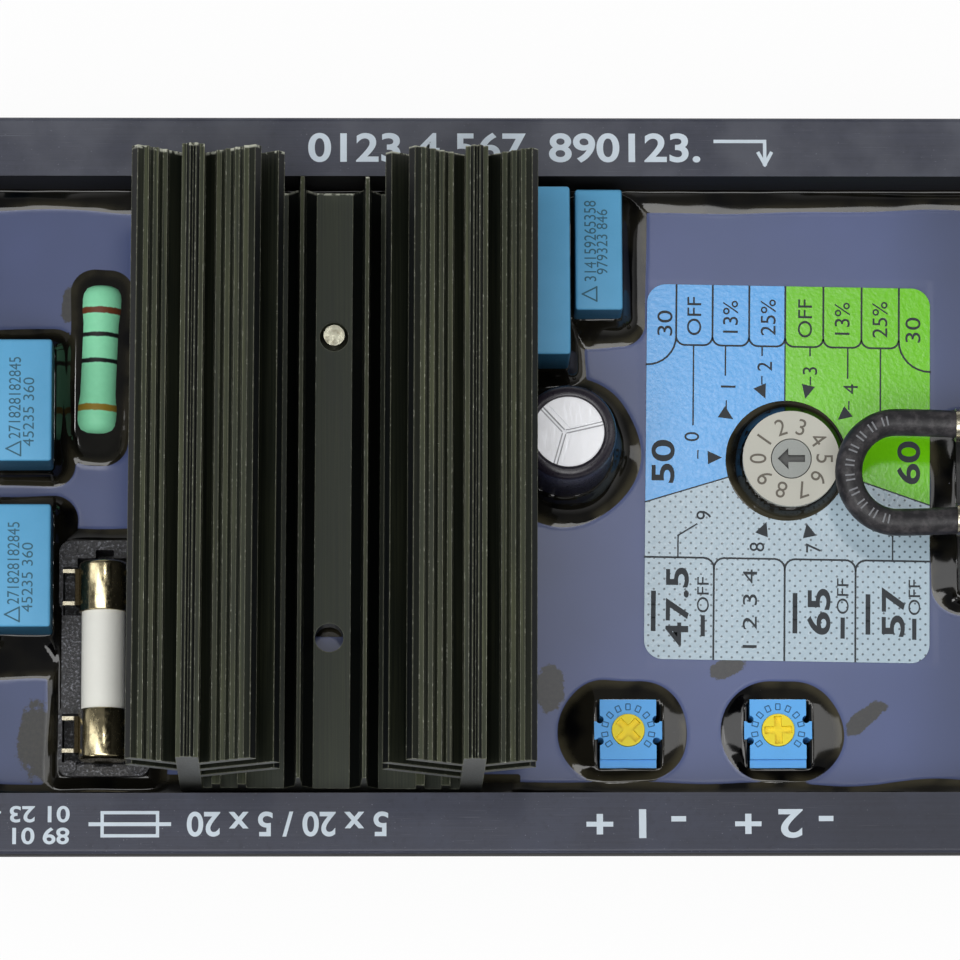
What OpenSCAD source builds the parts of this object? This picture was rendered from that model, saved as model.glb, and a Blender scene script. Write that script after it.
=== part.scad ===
// Automatic voltage regulator, potted in an extruded aluminium channel.
// Sizes are in millimetres. X runs along the channel, Y across it and Z up.
// The origin is on the underside of the channel, midway along it and across it.

/* [Channel] */
// Overall length of the channel
channel_l = 156; // [152:1:220]
// Overall width across both flanges
channel_w = 78; // [77:0.5:90]
// Height of the channel
channel_h = 24; // [21:0.5:30]
// Width of each top flange, measured from the inner face of the wall
flange_w = 6.35; // [5.5:0.05:6.6]
// Thickness of each top flange
flange_t = 2.2; // [1.6:0.1:3]
// Thickness of the walls and the floor
wall_t = 2.5; // [2:0.1:3.2]
// Length of the open mounting bay at each end
bay_l = 11; // [9:0.5:12]
// Bore of each mounting hole
mount_bore_d = 5.5; // [4:0.1:6.5]
// Distance between the mounting holes across the channel
mount_pitch_w = 48; // [30:1:52]
// Thickness of the dams that close the potted length
dam_t = 2; // [1.5:0.1:3]

/* [Board and resin] */
// Width of the two ledges that carry the board
ledge_w = 1.6; // [1.2:0.1:2.4]
// Thickness of the ledges
ledge_t = 1.8; // [1.2:0.1:3]
// Height of the ledge tops above the channel floor
ledge_h = 7.9; // [6:0.1:10]
// Thickness of the circuit board
board_t = 1.6; // [1:0.1:2.4]
// Depth of resin over the board
resin_cover = 4; // [3:0.1:4.6]

/* [Heat sink] */
// Distance of the heat sink's centre line from the middle of the channel
sink_x = -19.3; // [-20:0.1:-18]
// Width of the heat sink over its outer fins
sink_w = 41.6; // [38:0.1:42]
// Height of the heat sink
sink_h = 25; // [20:0.5:32]
// Gap from each end of the heat sink to the channel wall
sink_end_gap = 1; // [0.5:0.1:4]
// Height of the heat sink's base above the board
sink_standoff = 5.5; // [5.2:0.1:8]
// Width of the base plate
sink_base_w = 31.3; // [29:0.1:33]
// Thickness of the base plate
sink_base_t = 2.5; // [2:0.1:4]
// Thickness of each of the two upright trunks
trunk_t = 2.3; // [2:0.1:3]
// Thickness of the sloping fins
fin_t = 1; // [0.7:0.05:1.4]
// Open width between the lower fins over the middle of the heat sink
fin_gap = 10.4; // [9:0.1:12]
// Height of the two ribs beside the hole row
rib_h = 10.5; // [6:0.1:12]
// Bore of the two holes in the base
sink_bore_d = 3; // [2.6:0.1:3.4]

/* [Power transistor] */
// Width of the transistor
transistor_w = 10.2; // [9:0.1:12]
// Thickness of its moulded body
transistor_h = 4.5; // [4:0.1:4.8]
// Length of its moulded body
transistor_body_l = 9.2; // [8:0.1:11]
// Length of the tab that stands out past the body
tab_l = 6.4; // [5.5:0.1:7.5]
// Thickness of the tab
tab_t = 1.3; // [1:0.05:1.6]
// Thickness of the insulating pad
pad_t = 0.2; // [0.15:0.05:0.4]

/* [Fuse] */
// Length of the fuse
fuse_l = 20.9; // [19:0.1:21]
// Diameter of the fuse over its caps
fuse_d = 5.2; // [4.8:0.05:5.6]
// Diameter of the ceramic tube
fuse_tube_d = 4.6; // [4:0.05:4.7]
// Length of each cap
fuse_cap_l = 5.3; // [4:0.1:6]
// How much longer than the fuse its holder is
holder_over_l = 4; // [3.4:0.1:5]
// Width of the fuse holder
holder_w = 9.5; // [8.6:0.1:9.8]
// Height of the fuse holder
holder_h = 6; // [5.5:0.1:6.6]
// Thickness of the clip strip
clip_t = 0.4; // [0.3:0.05:0.5]

/* [Capacitors] */
// Length of the two left film capacitors and of the small one
film_l = 13; // [12:0.1:13.4]
// Width of the two left film capacitors
film_w = 6; // [5:0.1:6.4]
// Height of the two left film capacitors
film_h = 11.5; // [9:0.1:13]
// Length of the tall film capacitor
tall_film_l = 18; // [17:0.1:18.6]
// Width of the tall film capacitor
tall_film_w = 7; // [6:0.1:7.2]
// Height of the tall film capacitor
tall_film_h = 14; // [11:0.1:15]
// Width of the small film capacitor
small_film_w = 5; // [4:0.1:5.6]
// Height of the small film capacitor
small_film_h = 11; // [9:0.1:13]
// Diameter of the electrolytic capacitor
can_d = 10; // [8:0.1:10.4]
// Height of the electrolytic capacitor
can_h = 17; // [12:0.5:17]

/* [Resistor] */
// Diameter of the resistor's body
resistor_d = 4.4; // [3.5:0.1:4.6]
// Length of the resistor's body
resistor_l = 15.9; // [13:0.1:17]

/* [Selector switch] */
// Side of the switch's square body
switch_w = 10; // [9:0.1:11]
// Height of the numbered dial over the board
switch_h = 7; // [6.4:0.1:8]
// Diameter of the numbered dial
dial_d = 10.2; // [8:0.1:10.6]
// Diameter of the rotor
selector_rotor_d = 4.1; // [3:0.05:4.6]

/* [Setting label] */
// Width of the label
label_w = 30; // [26:0.1:31]
// Height of the label
label_l = 40.2; // [34:0.1:40.4]
// Thickness of the label
label_t = 0.15; // [0.1:0.05:0.25]
// Corner radius of the label
label_corner_r = 2; // [1:0.1:3]
// Diameter of the label's opening round the switch
label_hole_d = 12.9; // [12.4:0.1:14]

/* [Trimmers] */
// Width of each trimmer
trimmer_w = 7.1; // [6.5:0.1:8]
// Length of each trimmer
trimmer_l = 7.3; // [6.8:0.1:7.8]
// Height of each trimmer over the board
trimmer_h = 5; // [4.7:0.1:6]
// Diameter of each trimmer's rotor
trimmer_rotor_d = 3.4; // [2.6:0.05:3.8]

/* [Terminals and jumper] */
// Number of blade terminals at the left end
blade_count = 6; // [4:1:6]
// Width of each blade
blade_w = 6.35; // [6.2:0.05:6.6]
// Thickness of each blade
blade_t = 0.8; // [0.6:0.05:0.85]
// Distance between the blade terminals
blade_pitch = 9; // [8.4:0.1:9.6]
// Height of the blade tips over the board
blade_h = 12.5; // [11:0.1:13]
// Diameter of the jumper wire over its insulation
wire_d = 2.7; // [2:0.05:2.8]
// Distance between the jumper's two runs
jumper_pitch = 10; // [9:0.1:11]
// Height of the jumper wire's centre line over the board
wire_rise = 12; // [11.5:0.1:14]

/* [Hidden] */
$fn = 48;

// One overrun for every cut, and the clearance of parts that turn or slide together
overrun = 1;
running_gap = 0.05;
push_gap = 0.02;

// Channel, worked out from its driving sizes
cavity_w = channel_w - 2 * flange_w;
body_w = cavity_w + 2 * wall_t;
cavity_l = channel_l - 2 * bay_l - 2 * dam_t;
corner_r = 1.2;
flange_edge_r = 0.5;

// Board and resin
board_end_gap = 1;
board_side_gap = 0.3;
board_z = wall_t + ledge_h;
board_top = board_z + board_t;
board_l = cavity_l - 2 * board_end_gap;
board_w = cavity_w - 2 * board_side_gap;
resin_top = board_top + resin_cover;
lead_tail = 1.6;

// Heat sink: fin slopes, where each fin leaves its trunk, and the ridges on the fins
sink_z = board_top + sink_standoff;
sink_l = cavity_w - 2 * sink_end_gap;
sink_turn_angle = -0.4;
fin_angle = 38;
fin_joint_shares = [0.81, 0.63, 0.45];
fin_tip_x = fin_t / 2 * sin(fin_angle);
outer_fin_reach = (sink_w - sink_base_w) / 2 - fin_tip_x;
inner_fin_reach = sink_base_w / 2 - trunk_t - fin_gap / 2 - fin_tip_x;
top_fin_share = 0.7;
outer_ridges = 3;
inner_ridges = 4;
ridge_pitch = 1.2;
ridge_w = 0.75;
ridge_h = 0.32;
bump_d = 1.3;
bump_notch = 0.5;
rib_x = 3.4;
rib_top_t = 0.4;
rib_waist_t = 0.8;
rib_foot_w = 3;
rib_foot_h = 1.6;
low_rib_w = 0.9;
low_rib_h = 1.6;
low_rib_x_shares = [0.59, 0.76];
screw_share = 0.256;
spare_hole_share = -0.2496;
spare_hole_x = -0.3;
screw_y = sink_l * screw_share;
spare_hole_y = sink_l * spare_hole_share;
pin_d = 1.2;
pin_seat = 1.2;
pin_x_share = 0.3514;
pin_y_share = 0.379;
pin_x = sink_base_w * pin_x_share;
pin_y = sink_l * pin_y_share;

// Power transistor and its screw
pad_z = sink_z - pad_t;
pad_margin = 1.2;
tab_hole_d = 3.6;
tab_hole_inset = 2.8;
transistor_lead_w = 0.9;
transistor_lead_t = 0.5;
transistor_lead_pitch = 2.54;
transistor_lead_run = 4;
screw_d = 2.9;
screw_head_d = 5.5;
screw_head_h = 1.9;
screw_recess_w = 1;
screw_proud = 0.9;
screw_tip_d = 2.2;

// Places along X to the left of the heat sink: the length that the parts leave over is
// shared out between the gaps, so the layout opens and closes with the channel
left_spare = cavity_l / 2 + sink_x - sink_base_w / 2 - holder_w - film_w;
left_gap_share = 0.7148;
holder_gap_share = 0.2405;
blade_gap_share = 0.48;
left_gap = left_spare * left_gap_share;
left_film_x = -cavity_l / 2 + left_gap + film_w / 2;
fuse_x = sink_x - sink_base_w / 2 - left_spare * holder_gap_share - holder_w / 2;
blade_x = -cavity_l / 2 + left_gap * blade_gap_share;

// The same to the right of it, up to the jumper's header
film_gap = 0.6;
receptacle_w = 7.4;
header_corner_r = 1;
right_spare = cavity_l / 2 - sink_x - sink_base_w / 2 - tall_film_w - film_gap - small_film_w
    - label_w - receptacle_w - 2 * header_corner_r;
tall_film_gap_share = 0.1291;
label_gap_share = 0.1532;
header_gap_share = 0.1592;
right_gap_share = 0.3063;
tall_film_x = sink_x + sink_base_w / 2 + right_spare * tall_film_gap_share + tall_film_w / 2;
small_film_x = tall_film_x + tall_film_w / 2 + film_gap + small_film_w / 2;
label_x = small_film_x + small_film_w / 2 + right_spare * label_gap_share + label_w / 2;
header_x = label_x + label_w / 2 + right_spare * header_gap_share;
receptacle_x = cavity_l / 2 - right_spare * right_gap_share - header_corner_r - receptacle_w;

// The width that the trimmers and the label leave over, shared out in the same way
trimmer_edge = 3.45;
label_spare = cavity_w - label_l - trimmer_l - trimmer_edge;
label_edge_share = 0.7075;
label_y = cavity_w / 2 - label_spare * label_edge_share - label_l / 2;

// Fuse and its holder
holder_l = fuse_l + holder_over_l;
holder_edge = 1.9;
fuse_y = -cavity_w / 2 + holder_edge + holder_l / 2;
fuse_rise = 8;
fuse_z = board_top + fuse_rise;
holder_shift = 0.67;
holder_end_l = 7.6;
holder_waist_w = 8.9;
holder_corner_r = 1.2;
holder_end_wall = 1;
notch_w = 1.9;
notch_depth = 4;
pocket_w = 5.7;
pocket_depth = 2.5;
room_wall = 0.4;
room_l = 5.1;
room_depth = 4;
pip_d = 1.4;
pip_h = 0.3;
pip_inset = [1.2, 0.95];
trough_gap = 0.25;
fuse_near_gap = 0.1;
fuse_far_gap = 0.8;
clip_w = 3.8;
clip_inset = 2.7;
clip_grip_h = 0.6;
ear_reach = 4.25;
ear_t = 0.4;
clip_leg_w = 1;
cap_wall = 0.3;

// Distance of each clip from the middle of the fuse
clip_y = fuse_l / 2 - clip_inset;

// Capacitors
rear_film_share = 0.1348;
front_film_share = -0.1332;
rear_film_y = cavity_w * rear_film_share;
front_film_y = cavity_w * front_film_share;
tall_film_edge = 1.5;
small_film_edge = 1.15;
tall_film_y = cavity_w / 2 - tall_film_edge - tall_film_l / 2;
small_film_y = cavity_w / 2 - small_film_edge - film_l / 2;
film_corner_r = 0.5;
film_lead_d = 0.7;
film_lead_pitch_share = 0.77;
can_gap = 3.75;
can_shift = 3.1;
can_x = tall_film_x + can_shift;
can_y = tall_film_y - tall_film_l / 2 - can_gap - can_d / 2;
sleeve_t = 0.25;
sleeve_lip_share = 0.74;
can_top_drop = 0.35;
can_lead_d = 0.7;
can_lead_pitch = 5;
vent_score_w = 0.25;
vent_score_h = 0.15;
vent_score_gap = 0.55;
vent_turns = [14, 132, 254];

// Resistor
resistor_shift = -0.75;
resistor_share = 0.2251;
resistor_x = fuse_x + resistor_shift;
resistor_y = cavity_w * resistor_share;
resistor_rise = 2.9;
resistor_turn_angle = -3.7;
resistor_end_l = 2.6;
resistor_waist_share = 0.92;
resistor_end_r = 0.9;
resistor_lead_d = 0.8;
resistor_lead_run = 1.5;

// Selector switch
selector_shift = [0.2, 1];
selector_x = label_x + selector_shift[0];
selector_y = label_y + selector_shift[1];
label_hole_shift = [-0.3, 0.3];
switch_body_h = 3.4;
switch_neck_d = 9.8;
dial_t = 0.7;
dial_hole_gap = 0.1;
selector_depth = 2.4;
arrow_w = 0.75;
arrow_depth = 0.8;
arrow_head_share = 0.55;
switch_pin_d = 0.6;
switch_pin_pitch = 7.6;

// Setting label
label_turn_angle = -1;

// Trimmers, under the label's near edge
voltage_trimmer_shift = -17.1;
stability_trimmer_shift = -1.4;
voltage_trimmer_x = label_x + voltage_trimmer_shift;
stability_trimmer_x = label_x + stability_trimmer_shift;
trimmer_y = -cavity_w / 2 + trimmer_edge + trimmer_l / 2;
trimmer_rotor_shift = 0.4;
rotor_y = trimmer_y + trimmer_rotor_shift;
trimmer_notch_w = 0.6;
trimmer_wing_share = 0.26;
trimmer_wing_l = trimmer_l * trimmer_wing_share;
trimmer_bite_r = 0.4;
trimmer_ledge_l = 1;
trimmer_ledge_h = 0.6;
trimmer_bore_depth = 1.6;
rotor_proud = 0.25;
cross_w = 0.8;
cross_l = 2.9;
cross_depth = 0.7;
voltage_cross_angle = 45;
stability_cross_angle = 2;
trimmer_pin_d = 0.5;
trimmer_pin_pitch = 5;

// Blade terminals, jumper header, tabs, receptacles and jumper wire
blade_tip_l = 1.2;
blade_tip_share = 0.6;
blade_hole_d = 1.6;
blade_hole_drop = 3.6;
blade_leg_w = 1.4;
blade_foot_h = 1;
jumper_drop = 1.4;
jumper_run = 6.3;
jumper_y = label_y - jumper_drop;
wire_z = board_top + wire_rise;
neck_l = 1.4;
barrel_d = 3.5;
barrel_l = 4.4;
barrel_x = receptacle_x - neck_l - barrel_l;
barrel_wall_gap = 0.02;
jumper_arc_x = barrel_x - jumper_run;
receptacle_t = 2.3;
receptacle_l = 7.6;
strip_t = 0.4;
curl_d = 0.8;
curl_mouth = 2.2;
tab_x = receptacle_x + receptacle_w / 2;
header_l = 18.8;
header_drop = 4.1;
header_y = label_y - header_drop;
header_h = 6;
header_w = receptacle_x + receptacle_w + header_corner_r - header_x;
receptacle_z = board_top + header_h;
tab_top_gap = 0.6;

// A flat plate with round corners, centred on the origin
module round_rect(w, l, r) {
    square([w - 2 * r, l], center = true);
    square([w, l - 2 * r], center = true);
    for (sx = [-1, 1], sy = [-1, 1])
        translate([sx * (w / 2 - r), sy * (l / 2 - r)]) circle(r);
}

// What is left of a square corner when its edge is rounded
module corner_waste(r) {
    difference() {
        translate([-overrun, -overrun]) square(r + overrun);
        translate([r, r]) circle(r);
        translate([-overrun, r]) square([r + overrun, overrun]);
        translate([r, -overrun]) square([overrun, r + overrun]);
    }
}

// Two straight wires under a part, ending below the board
module lead_pair(x, y, pitch, d, turn = 0) {
    translate([x, y, 0]) rotate(turn)
        for (side = [-1, 1])
            translate([0, side * pitch / 2, board_z - lead_tail])
                cylinder(d = d, h = board_t + lead_tail);
}

// Section of the channel across its length, with Y as x and Z as y
module channel_section() {
    difference() {
        union() {
            translate([-body_w / 2, 0]) square([body_w, channel_h]);
            translate([-channel_w / 2, channel_h - flange_t]) square([channel_w, flange_t]);
        }
        translate([-cavity_w / 2, wall_t]) square([cavity_w, channel_h]);
        translate([-channel_w / 2, channel_h]) rotate(-90) corner_waste(flange_edge_r);
        translate([channel_w / 2, channel_h]) rotate(180) corner_waste(flange_edge_r);
        translate([-body_w / 2, 0]) corner_waste(corner_r);
        translate([body_w / 2, 0]) rotate(90) corner_waste(corner_r);
    }
    ledge_sections();
}

// The two board ledges in the same section
module ledge_sections() {
    root = wall_t / 2;
    for (side = [-1, 1])
        translate([side * (cavity_w / 2 + (root - ledge_w) / 2), board_z - ledge_t / 2])
            square([ledge_w + root, ledge_t], center = true);
}

// Turns a section in Y and Z into a length along X
module along_x(l) {
    translate([-l / 2, 0, 0]) rotate([90, 0, 90]) linear_extrude(l) children();
}

module channel_housing() {
    color("#2b2d38") difference() {
        along_x(channel_l) channel_section();
        for (sx = [-1, 1], sy = [-1, 1])
            translate([sx * (channel_l - bay_l) / 2, sy * mount_pitch_w / 2, -overrun])
                cylinder(d = mount_bore_d, h = wall_t + 2 * overrun);
    }
}

// A plate across the channel that keeps the resin in while it sets
module end_dam(side) {
    color("#1b1b1f")
        translate([side * (cavity_l + dam_t) / 2, 0, 0]) along_x(dam_t) difference() {
            translate([-cavity_w / 2, wall_t]) square([cavity_w, channel_h - flange_t - wall_t]);
            ledge_sections();
        }
}

module left_end_dam() {
    end_dam(-1);
}

module right_end_dam() {
    end_dam(1);
}

// Everything that stands in the resin, as solid shapes
module potted_parts() {
    heat_sink_pins();
    transistor_body();
    transistor_leadframe();
    transistor_screw();
    holder_block();
    clip_legs(1);
    clip_legs(-1);
    rear_film_capacitor();
    rear_film_capacitor_leads();
    front_film_capacitor();
    front_film_capacitor_leads();
    tall_film_capacitor();
    tall_film_capacitor_leads();
    small_film_capacitor();
    small_film_capacitor_leads();
    resistor_body();
    resistor_leads();
    translate([can_x, can_y, board_top]) cylinder(d = can_d, h = can_h);
    electrolytic_leads();
    translate([selector_x, selector_y, board_top]) switch_shell();
    selector_pins();
    trimmer_shell(voltage_trimmer_x);
    voltage_trimmer_pins();
    trimmer_shell(stability_trimmer_x);
    stability_trimmer_pins();
    blade_terminals();
    jumper_header();
    rear_jumper_tab();
    front_jumper_tab();
}

// Wires and legs that pass through the board
module board_pins() {
    heat_sink_pins();
    transistor_leadframe();
    clip_legs(1);
    clip_legs(-1);
    rear_film_capacitor_leads();
    front_film_capacitor_leads();
    tall_film_capacitor_leads();
    small_film_capacitor_leads();
    resistor_leads();
    electrolytic_leads();
    selector_pins();
    voltage_trimmer_pins();
    stability_trimmer_pins();
    blade_terminals();
    rear_jumper_tab();
    front_jumper_tab();
}

module board_blank() {
    translate([0, 0, board_z + board_t / 2]) cube([board_l, board_w, board_t], center = true);
}

module circuit_board() {
    color("#3d5a2e") difference() {
        board_blank();
        board_pins();
    }
}

module potting_resin() {
    color("#61648f") difference() {
        translate([-cavity_l / 2, -cavity_w / 2, wall_t])
            cube([cavity_l, cavity_w, resin_top - wall_t]);
        along_x(cavity_l + overrun) ledge_sections();
        board_blank();
        potted_parts();
    }
}

// One fin that slopes up to the right or the left, with small ridges on its upper face
module fin_section(reach, ridges, side) {
    l = reach / cos(fin_angle);
    rotate(side > 0 ? fin_angle : 180 - fin_angle) {
        translate([-fin_t / 2, -fin_t / 2]) square([l + fin_t / 2, fin_t]);
        for (i = [1:1:ridges])
            translate([l - i * ridge_pitch, side * fin_t / 2]) rotate(side > 0 ? 0 : 180)
                polygon([[-ridge_w / 2, 0], [-ridge_w / 2, -fin_t / 2], [ridge_w / 2, -fin_t / 2],
                    [ridge_w / 2, 0], [0, ridge_h]]);
    }
}

// One side of the heat sink's section: the trunk, its fins and the ribs on the base
module sink_side_section(side) {
    inner_x = sink_base_w / 2 - trunk_t;
    trunk_x = side * (inner_x + trunk_t / 2);
    translate([trunk_x, sink_h / 2]) square([trunk_t, sink_h], center = true);
    translate([trunk_x, sink_h]) difference() {
        circle(d = bump_d);
        translate([0, bump_d / 2]) rotate(45) square(bump_notch, center = true);
    }
    for (i = [0, 1])
        translate([side * sink_base_w / 2, sink_h * fin_joint_shares[i]])
            fin_section(outer_fin_reach, i == 0 ? outer_ridges : 0, side);
    for (i = [0, 1, 2])
        translate([side * inner_x, sink_h * fin_joint_shares[i]])
            fin_section(inner_fin_reach * (i == 0 ? top_fin_share : 1), i == 0 ? inner_ridges : 0, -side);
    translate([side * rib_x, sink_base_t]) polygon([
        [-rib_foot_w / 2, 0], [-rib_foot_w / 2, -sink_base_t / 2],
        [rib_foot_w / 2, -sink_base_t / 2], [rib_foot_w / 2, 0],
        [rib_waist_t / 2, rib_foot_h], [rib_top_t / 2, rib_h - sink_base_t],
        [-rib_top_t / 2, rib_h - sink_base_t], [-rib_waist_t / 2, rib_foot_h]]);
    for (share = low_rib_x_shares)
        translate([side * share * sink_base_w / 2, sink_base_t + low_rib_h / 2])
            square([low_rib_w, low_rib_h + sink_base_t], center = true);
}

// The heat sink stands a little askew, and so does all that is fixed to it
module on_sink() {
    translate([sink_x, 0, 0]) rotate(sink_turn_angle) children();
}

module heat_sink() {
    color("#23241c") on_sink() translate([0, 0, sink_z]) difference() {
        translate([0, sink_l / 2, 0]) rotate([90, 0, 0]) linear_extrude(sink_l) {
            translate([0, sink_base_t / 2]) square([sink_base_w, sink_base_t], center = true);
            sink_side_section(1);
            sink_side_section(-1);
        }
        translate([0, screw_y, -overrun]) cylinder(d = sink_bore_d, h = sink_base_t + 2 * overrun);
        translate([spare_hole_x, spare_hole_y, -overrun])
            cylinder(d = sink_bore_d, h = sink_base_t + 2 * overrun);
        for (sx = [-1, 1], sy = [-1, 1])
            translate([sx * pin_x, sy * pin_y, -overrun])
                cylinder(d = pin_d + 2 * push_gap, h = pin_seat + overrun);
    }
}

// Four pins that carry the heat sink on the board
module heat_sink_pins() {
    color("silver") on_sink() for (sx = [-1, 1], sy = [-1, 1])
        translate([sx * pin_x, sy * pin_y, board_z - lead_tail])
            cylinder(d = pin_d, h = sink_z + pin_seat - board_z + lead_tail);
}

module insulating_pad() {
    w = transistor_w + 2 * pad_margin;
    l = transistor_body_l + tab_l + 2 * pad_margin;
    color("lightgray") on_sink() difference() {
        translate([-w / 2, screw_y + tab_hole_inset + pad_margin - l, pad_z])
            cube([w, l, pad_t]);
        translate([0, screw_y, pad_z - overrun])
            cylinder(d = sink_bore_d, h = pad_t + 2 * overrun);
    }
}

// The transistor lies under the heat sink with its tab uppermost
module transistor_body() {
    tab_end = screw_y + tab_hole_inset;
    color("#151517") difference() {
        on_sink() translate([-transistor_w / 2, tab_end - tab_l - transistor_body_l,
                pad_z - transistor_h])
            cube([transistor_w, transistor_body_l, transistor_h]);
        transistor_tab();
        transistor_legs();
        transistor_step();
    }
}

module transistor_tab() {
    l = tab_l + transistor_body_l - tab_t;
    on_sink() translate([0, screw_y + tab_hole_inset, pad_z - tab_t]) difference() {
        translate([-transistor_w / 2, -l, 0]) cube([transistor_w, l, tab_t]);
        translate([0, -tab_hole_inset, -overrun]) cylinder(d = tab_hole_d, h = tab_t + 2 * overrun);
    }
}

module transistor_legs() {
    body_end = screw_y + tab_hole_inset - tab_l - transistor_body_l;
    on_sink() for (i = [-1, 0, 1])
            translate([i * transistor_lead_pitch - transistor_lead_w / 2, 0, 0]) {
        translate([0, body_end - transistor_lead_run, pad_z - transistor_h / 2])
            cube([transistor_lead_w, transistor_lead_run + tab_t, transistor_lead_t]);
        translate([0, body_end - transistor_lead_run, board_z - lead_tail])
            cube([transistor_lead_w, transistor_lead_t, pad_z - transistor_h / 2 - board_z + lead_tail]);
    }
}

module transistor_leadframe() {
    color("silver") {
        transistor_tab();
        transistor_legs();
        transistor_step();
    }
}

// The middle leg steps up to the tab inside the body
module transistor_step() {
    body_end = screw_y + tab_hole_inset - tab_l - transistor_body_l;
    on_sink() translate([-transistor_lead_w / 2, body_end + tab_t / 2, pad_z - transistor_h / 2])
        cube([transistor_lead_w, tab_t, transistor_h / 2 - tab_t / 2]);
}

module transistor_screw() {
    under_tab = pad_z - tab_t;
    shaft_l = tab_t + pad_t + sink_base_t + screw_proud - screw_tip_d / 4;
    color("silver") on_sink() translate([0, screw_y, under_tab]) {
        translate([0, 0, -screw_head_h]) difference() {
            cylinder(d = screw_head_d, h = screw_head_h);
            for (turn = [0, 90]) rotate(turn)
                cube([screw_head_d * 0.6, screw_recess_w, screw_head_h], center = true);
        }
        cylinder(d = screw_d, h = shaft_l);
        translate([0, 0, shaft_l]) cylinder(d1 = screw_d, d2 = screw_tip_d, h = screw_tip_d / 4);
    }
}

// Outline of the fuse holder from above
module holder_outline() {
    round_rect(holder_waist_w, holder_l - holder_end_l, holder_corner_r);
    for (side = [-1, 1]) translate([0, side * (holder_l - holder_end_l) / 2])
        round_rect(holder_w, holder_end_l, holder_corner_r);
}

module holder_block() {
    translate([fuse_x, fuse_y + holder_shift, board_top]) linear_extrude(holder_h) holder_outline();
}

module fuse_holder() {
    color("#1d1d1f") {
        difference() {
            holder_block();
            holder_rooms();
            clip_legs(1);
            clip_legs(-1);
        }
        for (sx = [-1, 1], sy = [-1, 1])
            translate([fuse_x + sx * (holder_w / 2 - pip_inset[0]),
                    fuse_y + holder_shift + sy * (holder_l / 2 - pip_inset[1]), board_top + holder_h])
                cylinder(d = pip_d, h = pip_h);
    }
}

// One room cut down into the holder from its top, between two places along Y
module cut_down(w, near, far, depth) {
    translate([fuse_x - w / 2, near, board_top + holder_h - depth])
        cube([w, far - near, depth + overrun]);
}

// The trough under the fuse, the rooms round its clips, and the pockets and notches at its ends
module holder_rooms() {
    near = fuse_y - fuse_l / 2 - fuse_near_gap;
    far = fuse_y + fuse_l / 2 + fuse_far_gap;
    half_l = holder_l / 2 - holder_end_wall;
    translate([fuse_x, far, fuse_z]) rotate([90, 0, 0])
        cylinder(d = fuse_d + 2 * trough_gap, h = far - near);
    for (side = [-1, 1])
        cut_down(holder_w - 2 * room_wall, fuse_y + side * clip_y - room_l / 2,
            fuse_y + side * clip_y + room_l / 2, room_depth);
    cut_down(pocket_w, near, fuse_y - clip_y, pocket_depth);
    cut_down(pocket_w, fuse_y + clip_y, far, pocket_depth);
    cut_down(notch_w, fuse_y + holder_shift - half_l, near + pocket_depth / 2, notch_depth);
    cut_down(notch_w, far - pocket_depth / 2, fuse_y + holder_shift + half_l, notch_depth);
}

// The leg of one clip, from its strip down through the board
module clip_legs(side) {
    leg_top = fuse_z - fuse_d / 2 - clip_t / 2;
    translate([fuse_x - clip_leg_w / 2, fuse_y + side * clip_y - clip_t / 2, board_z - lead_tail])
        cube([clip_leg_w, clip_t, leg_top - board_z + lead_tail]);
}

// Section of a spring clip: a round cradle whose two arms end a little above the fuse's middle
module clip_section() {
    r = fuse_d / 2 + push_gap;
    difference() {
        circle(r + clip_t);
        circle(r);
        translate([-fuse_d, clip_grip_h]) square(2 * fuse_d);
    }
}

// A clip with a narrow ear out from each end of both arms
module fuse_clip(side) {
    arm_x = fuse_d / 2 + push_gap + clip_t / 2;
    color("#b9a05a") {
        translate([fuse_x, fuse_y + side * clip_y, fuse_z]) {
            translate([0, clip_w / 2, 0]) rotate([90, 0, 0]) linear_extrude(clip_w) clip_section();
            for (turn = [0, 180], end = [-1, 1]) rotate(turn)
                translate([arm_x, end * (clip_w - ear_t) / 2 - ear_t / 2, clip_grip_h - ear_t])
                    cube([ear_reach - arm_x, ear_t, ear_t]);
        }
        clip_legs(side);
    }
}

module rear_fuse_clip() {
    fuse_clip(1);
}

module front_fuse_clip() {
    fuse_clip(-1);
}

module fuse_tube() {
    l = fuse_l - 2 * cap_wall;
    color("#e8e6df") translate([fuse_x, fuse_y + l / 2, fuse_z]) rotate([90, 0, 0])
        cylinder(d = fuse_tube_d, h = l);
}

module fuse_cap(side) {
    color("#c9b47a") translate([fuse_x, fuse_y + side * fuse_l / 2, fuse_z])
        rotate([side * 90, 0, 0]) difference() {
            cylinder(d = fuse_d, h = fuse_cap_l);
            translate([0, 0, cap_wall]) cylinder(d = fuse_tube_d + 2 * push_gap, h = fuse_cap_l);
        }
}

module rear_fuse_cap() {
    fuse_cap(1);
}

module front_fuse_cap() {
    fuse_cap(-1);
}

// A film capacitor's moulded box standing on the board
module film_box(x, y, w, l, h) {
    color("#5c9bc9") translate([x, y, board_top]) linear_extrude(h) round_rect(w, l, film_corner_r);
}

module film_leads(x, y, l) {
    color("silver") lead_pair(x, y, l * film_lead_pitch_share, film_lead_d);
}

module rear_film_capacitor() {
    film_box(left_film_x, rear_film_y, film_w, film_l, film_h);
}

module rear_film_capacitor_leads() {
    film_leads(left_film_x, rear_film_y, film_l);
}

module front_film_capacitor() {
    film_box(left_film_x, front_film_y, film_w, film_l, film_h);
}

module front_film_capacitor_leads() {
    film_leads(left_film_x, front_film_y, film_l);
}

module tall_film_capacitor() {
    film_box(tall_film_x, tall_film_y, tall_film_w, tall_film_l, tall_film_h);
}

module tall_film_capacitor_leads() {
    film_leads(tall_film_x, tall_film_y, tall_film_l);
}

module small_film_capacitor() {
    film_box(small_film_x, small_film_y, small_film_w, film_l, small_film_h);
}

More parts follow.
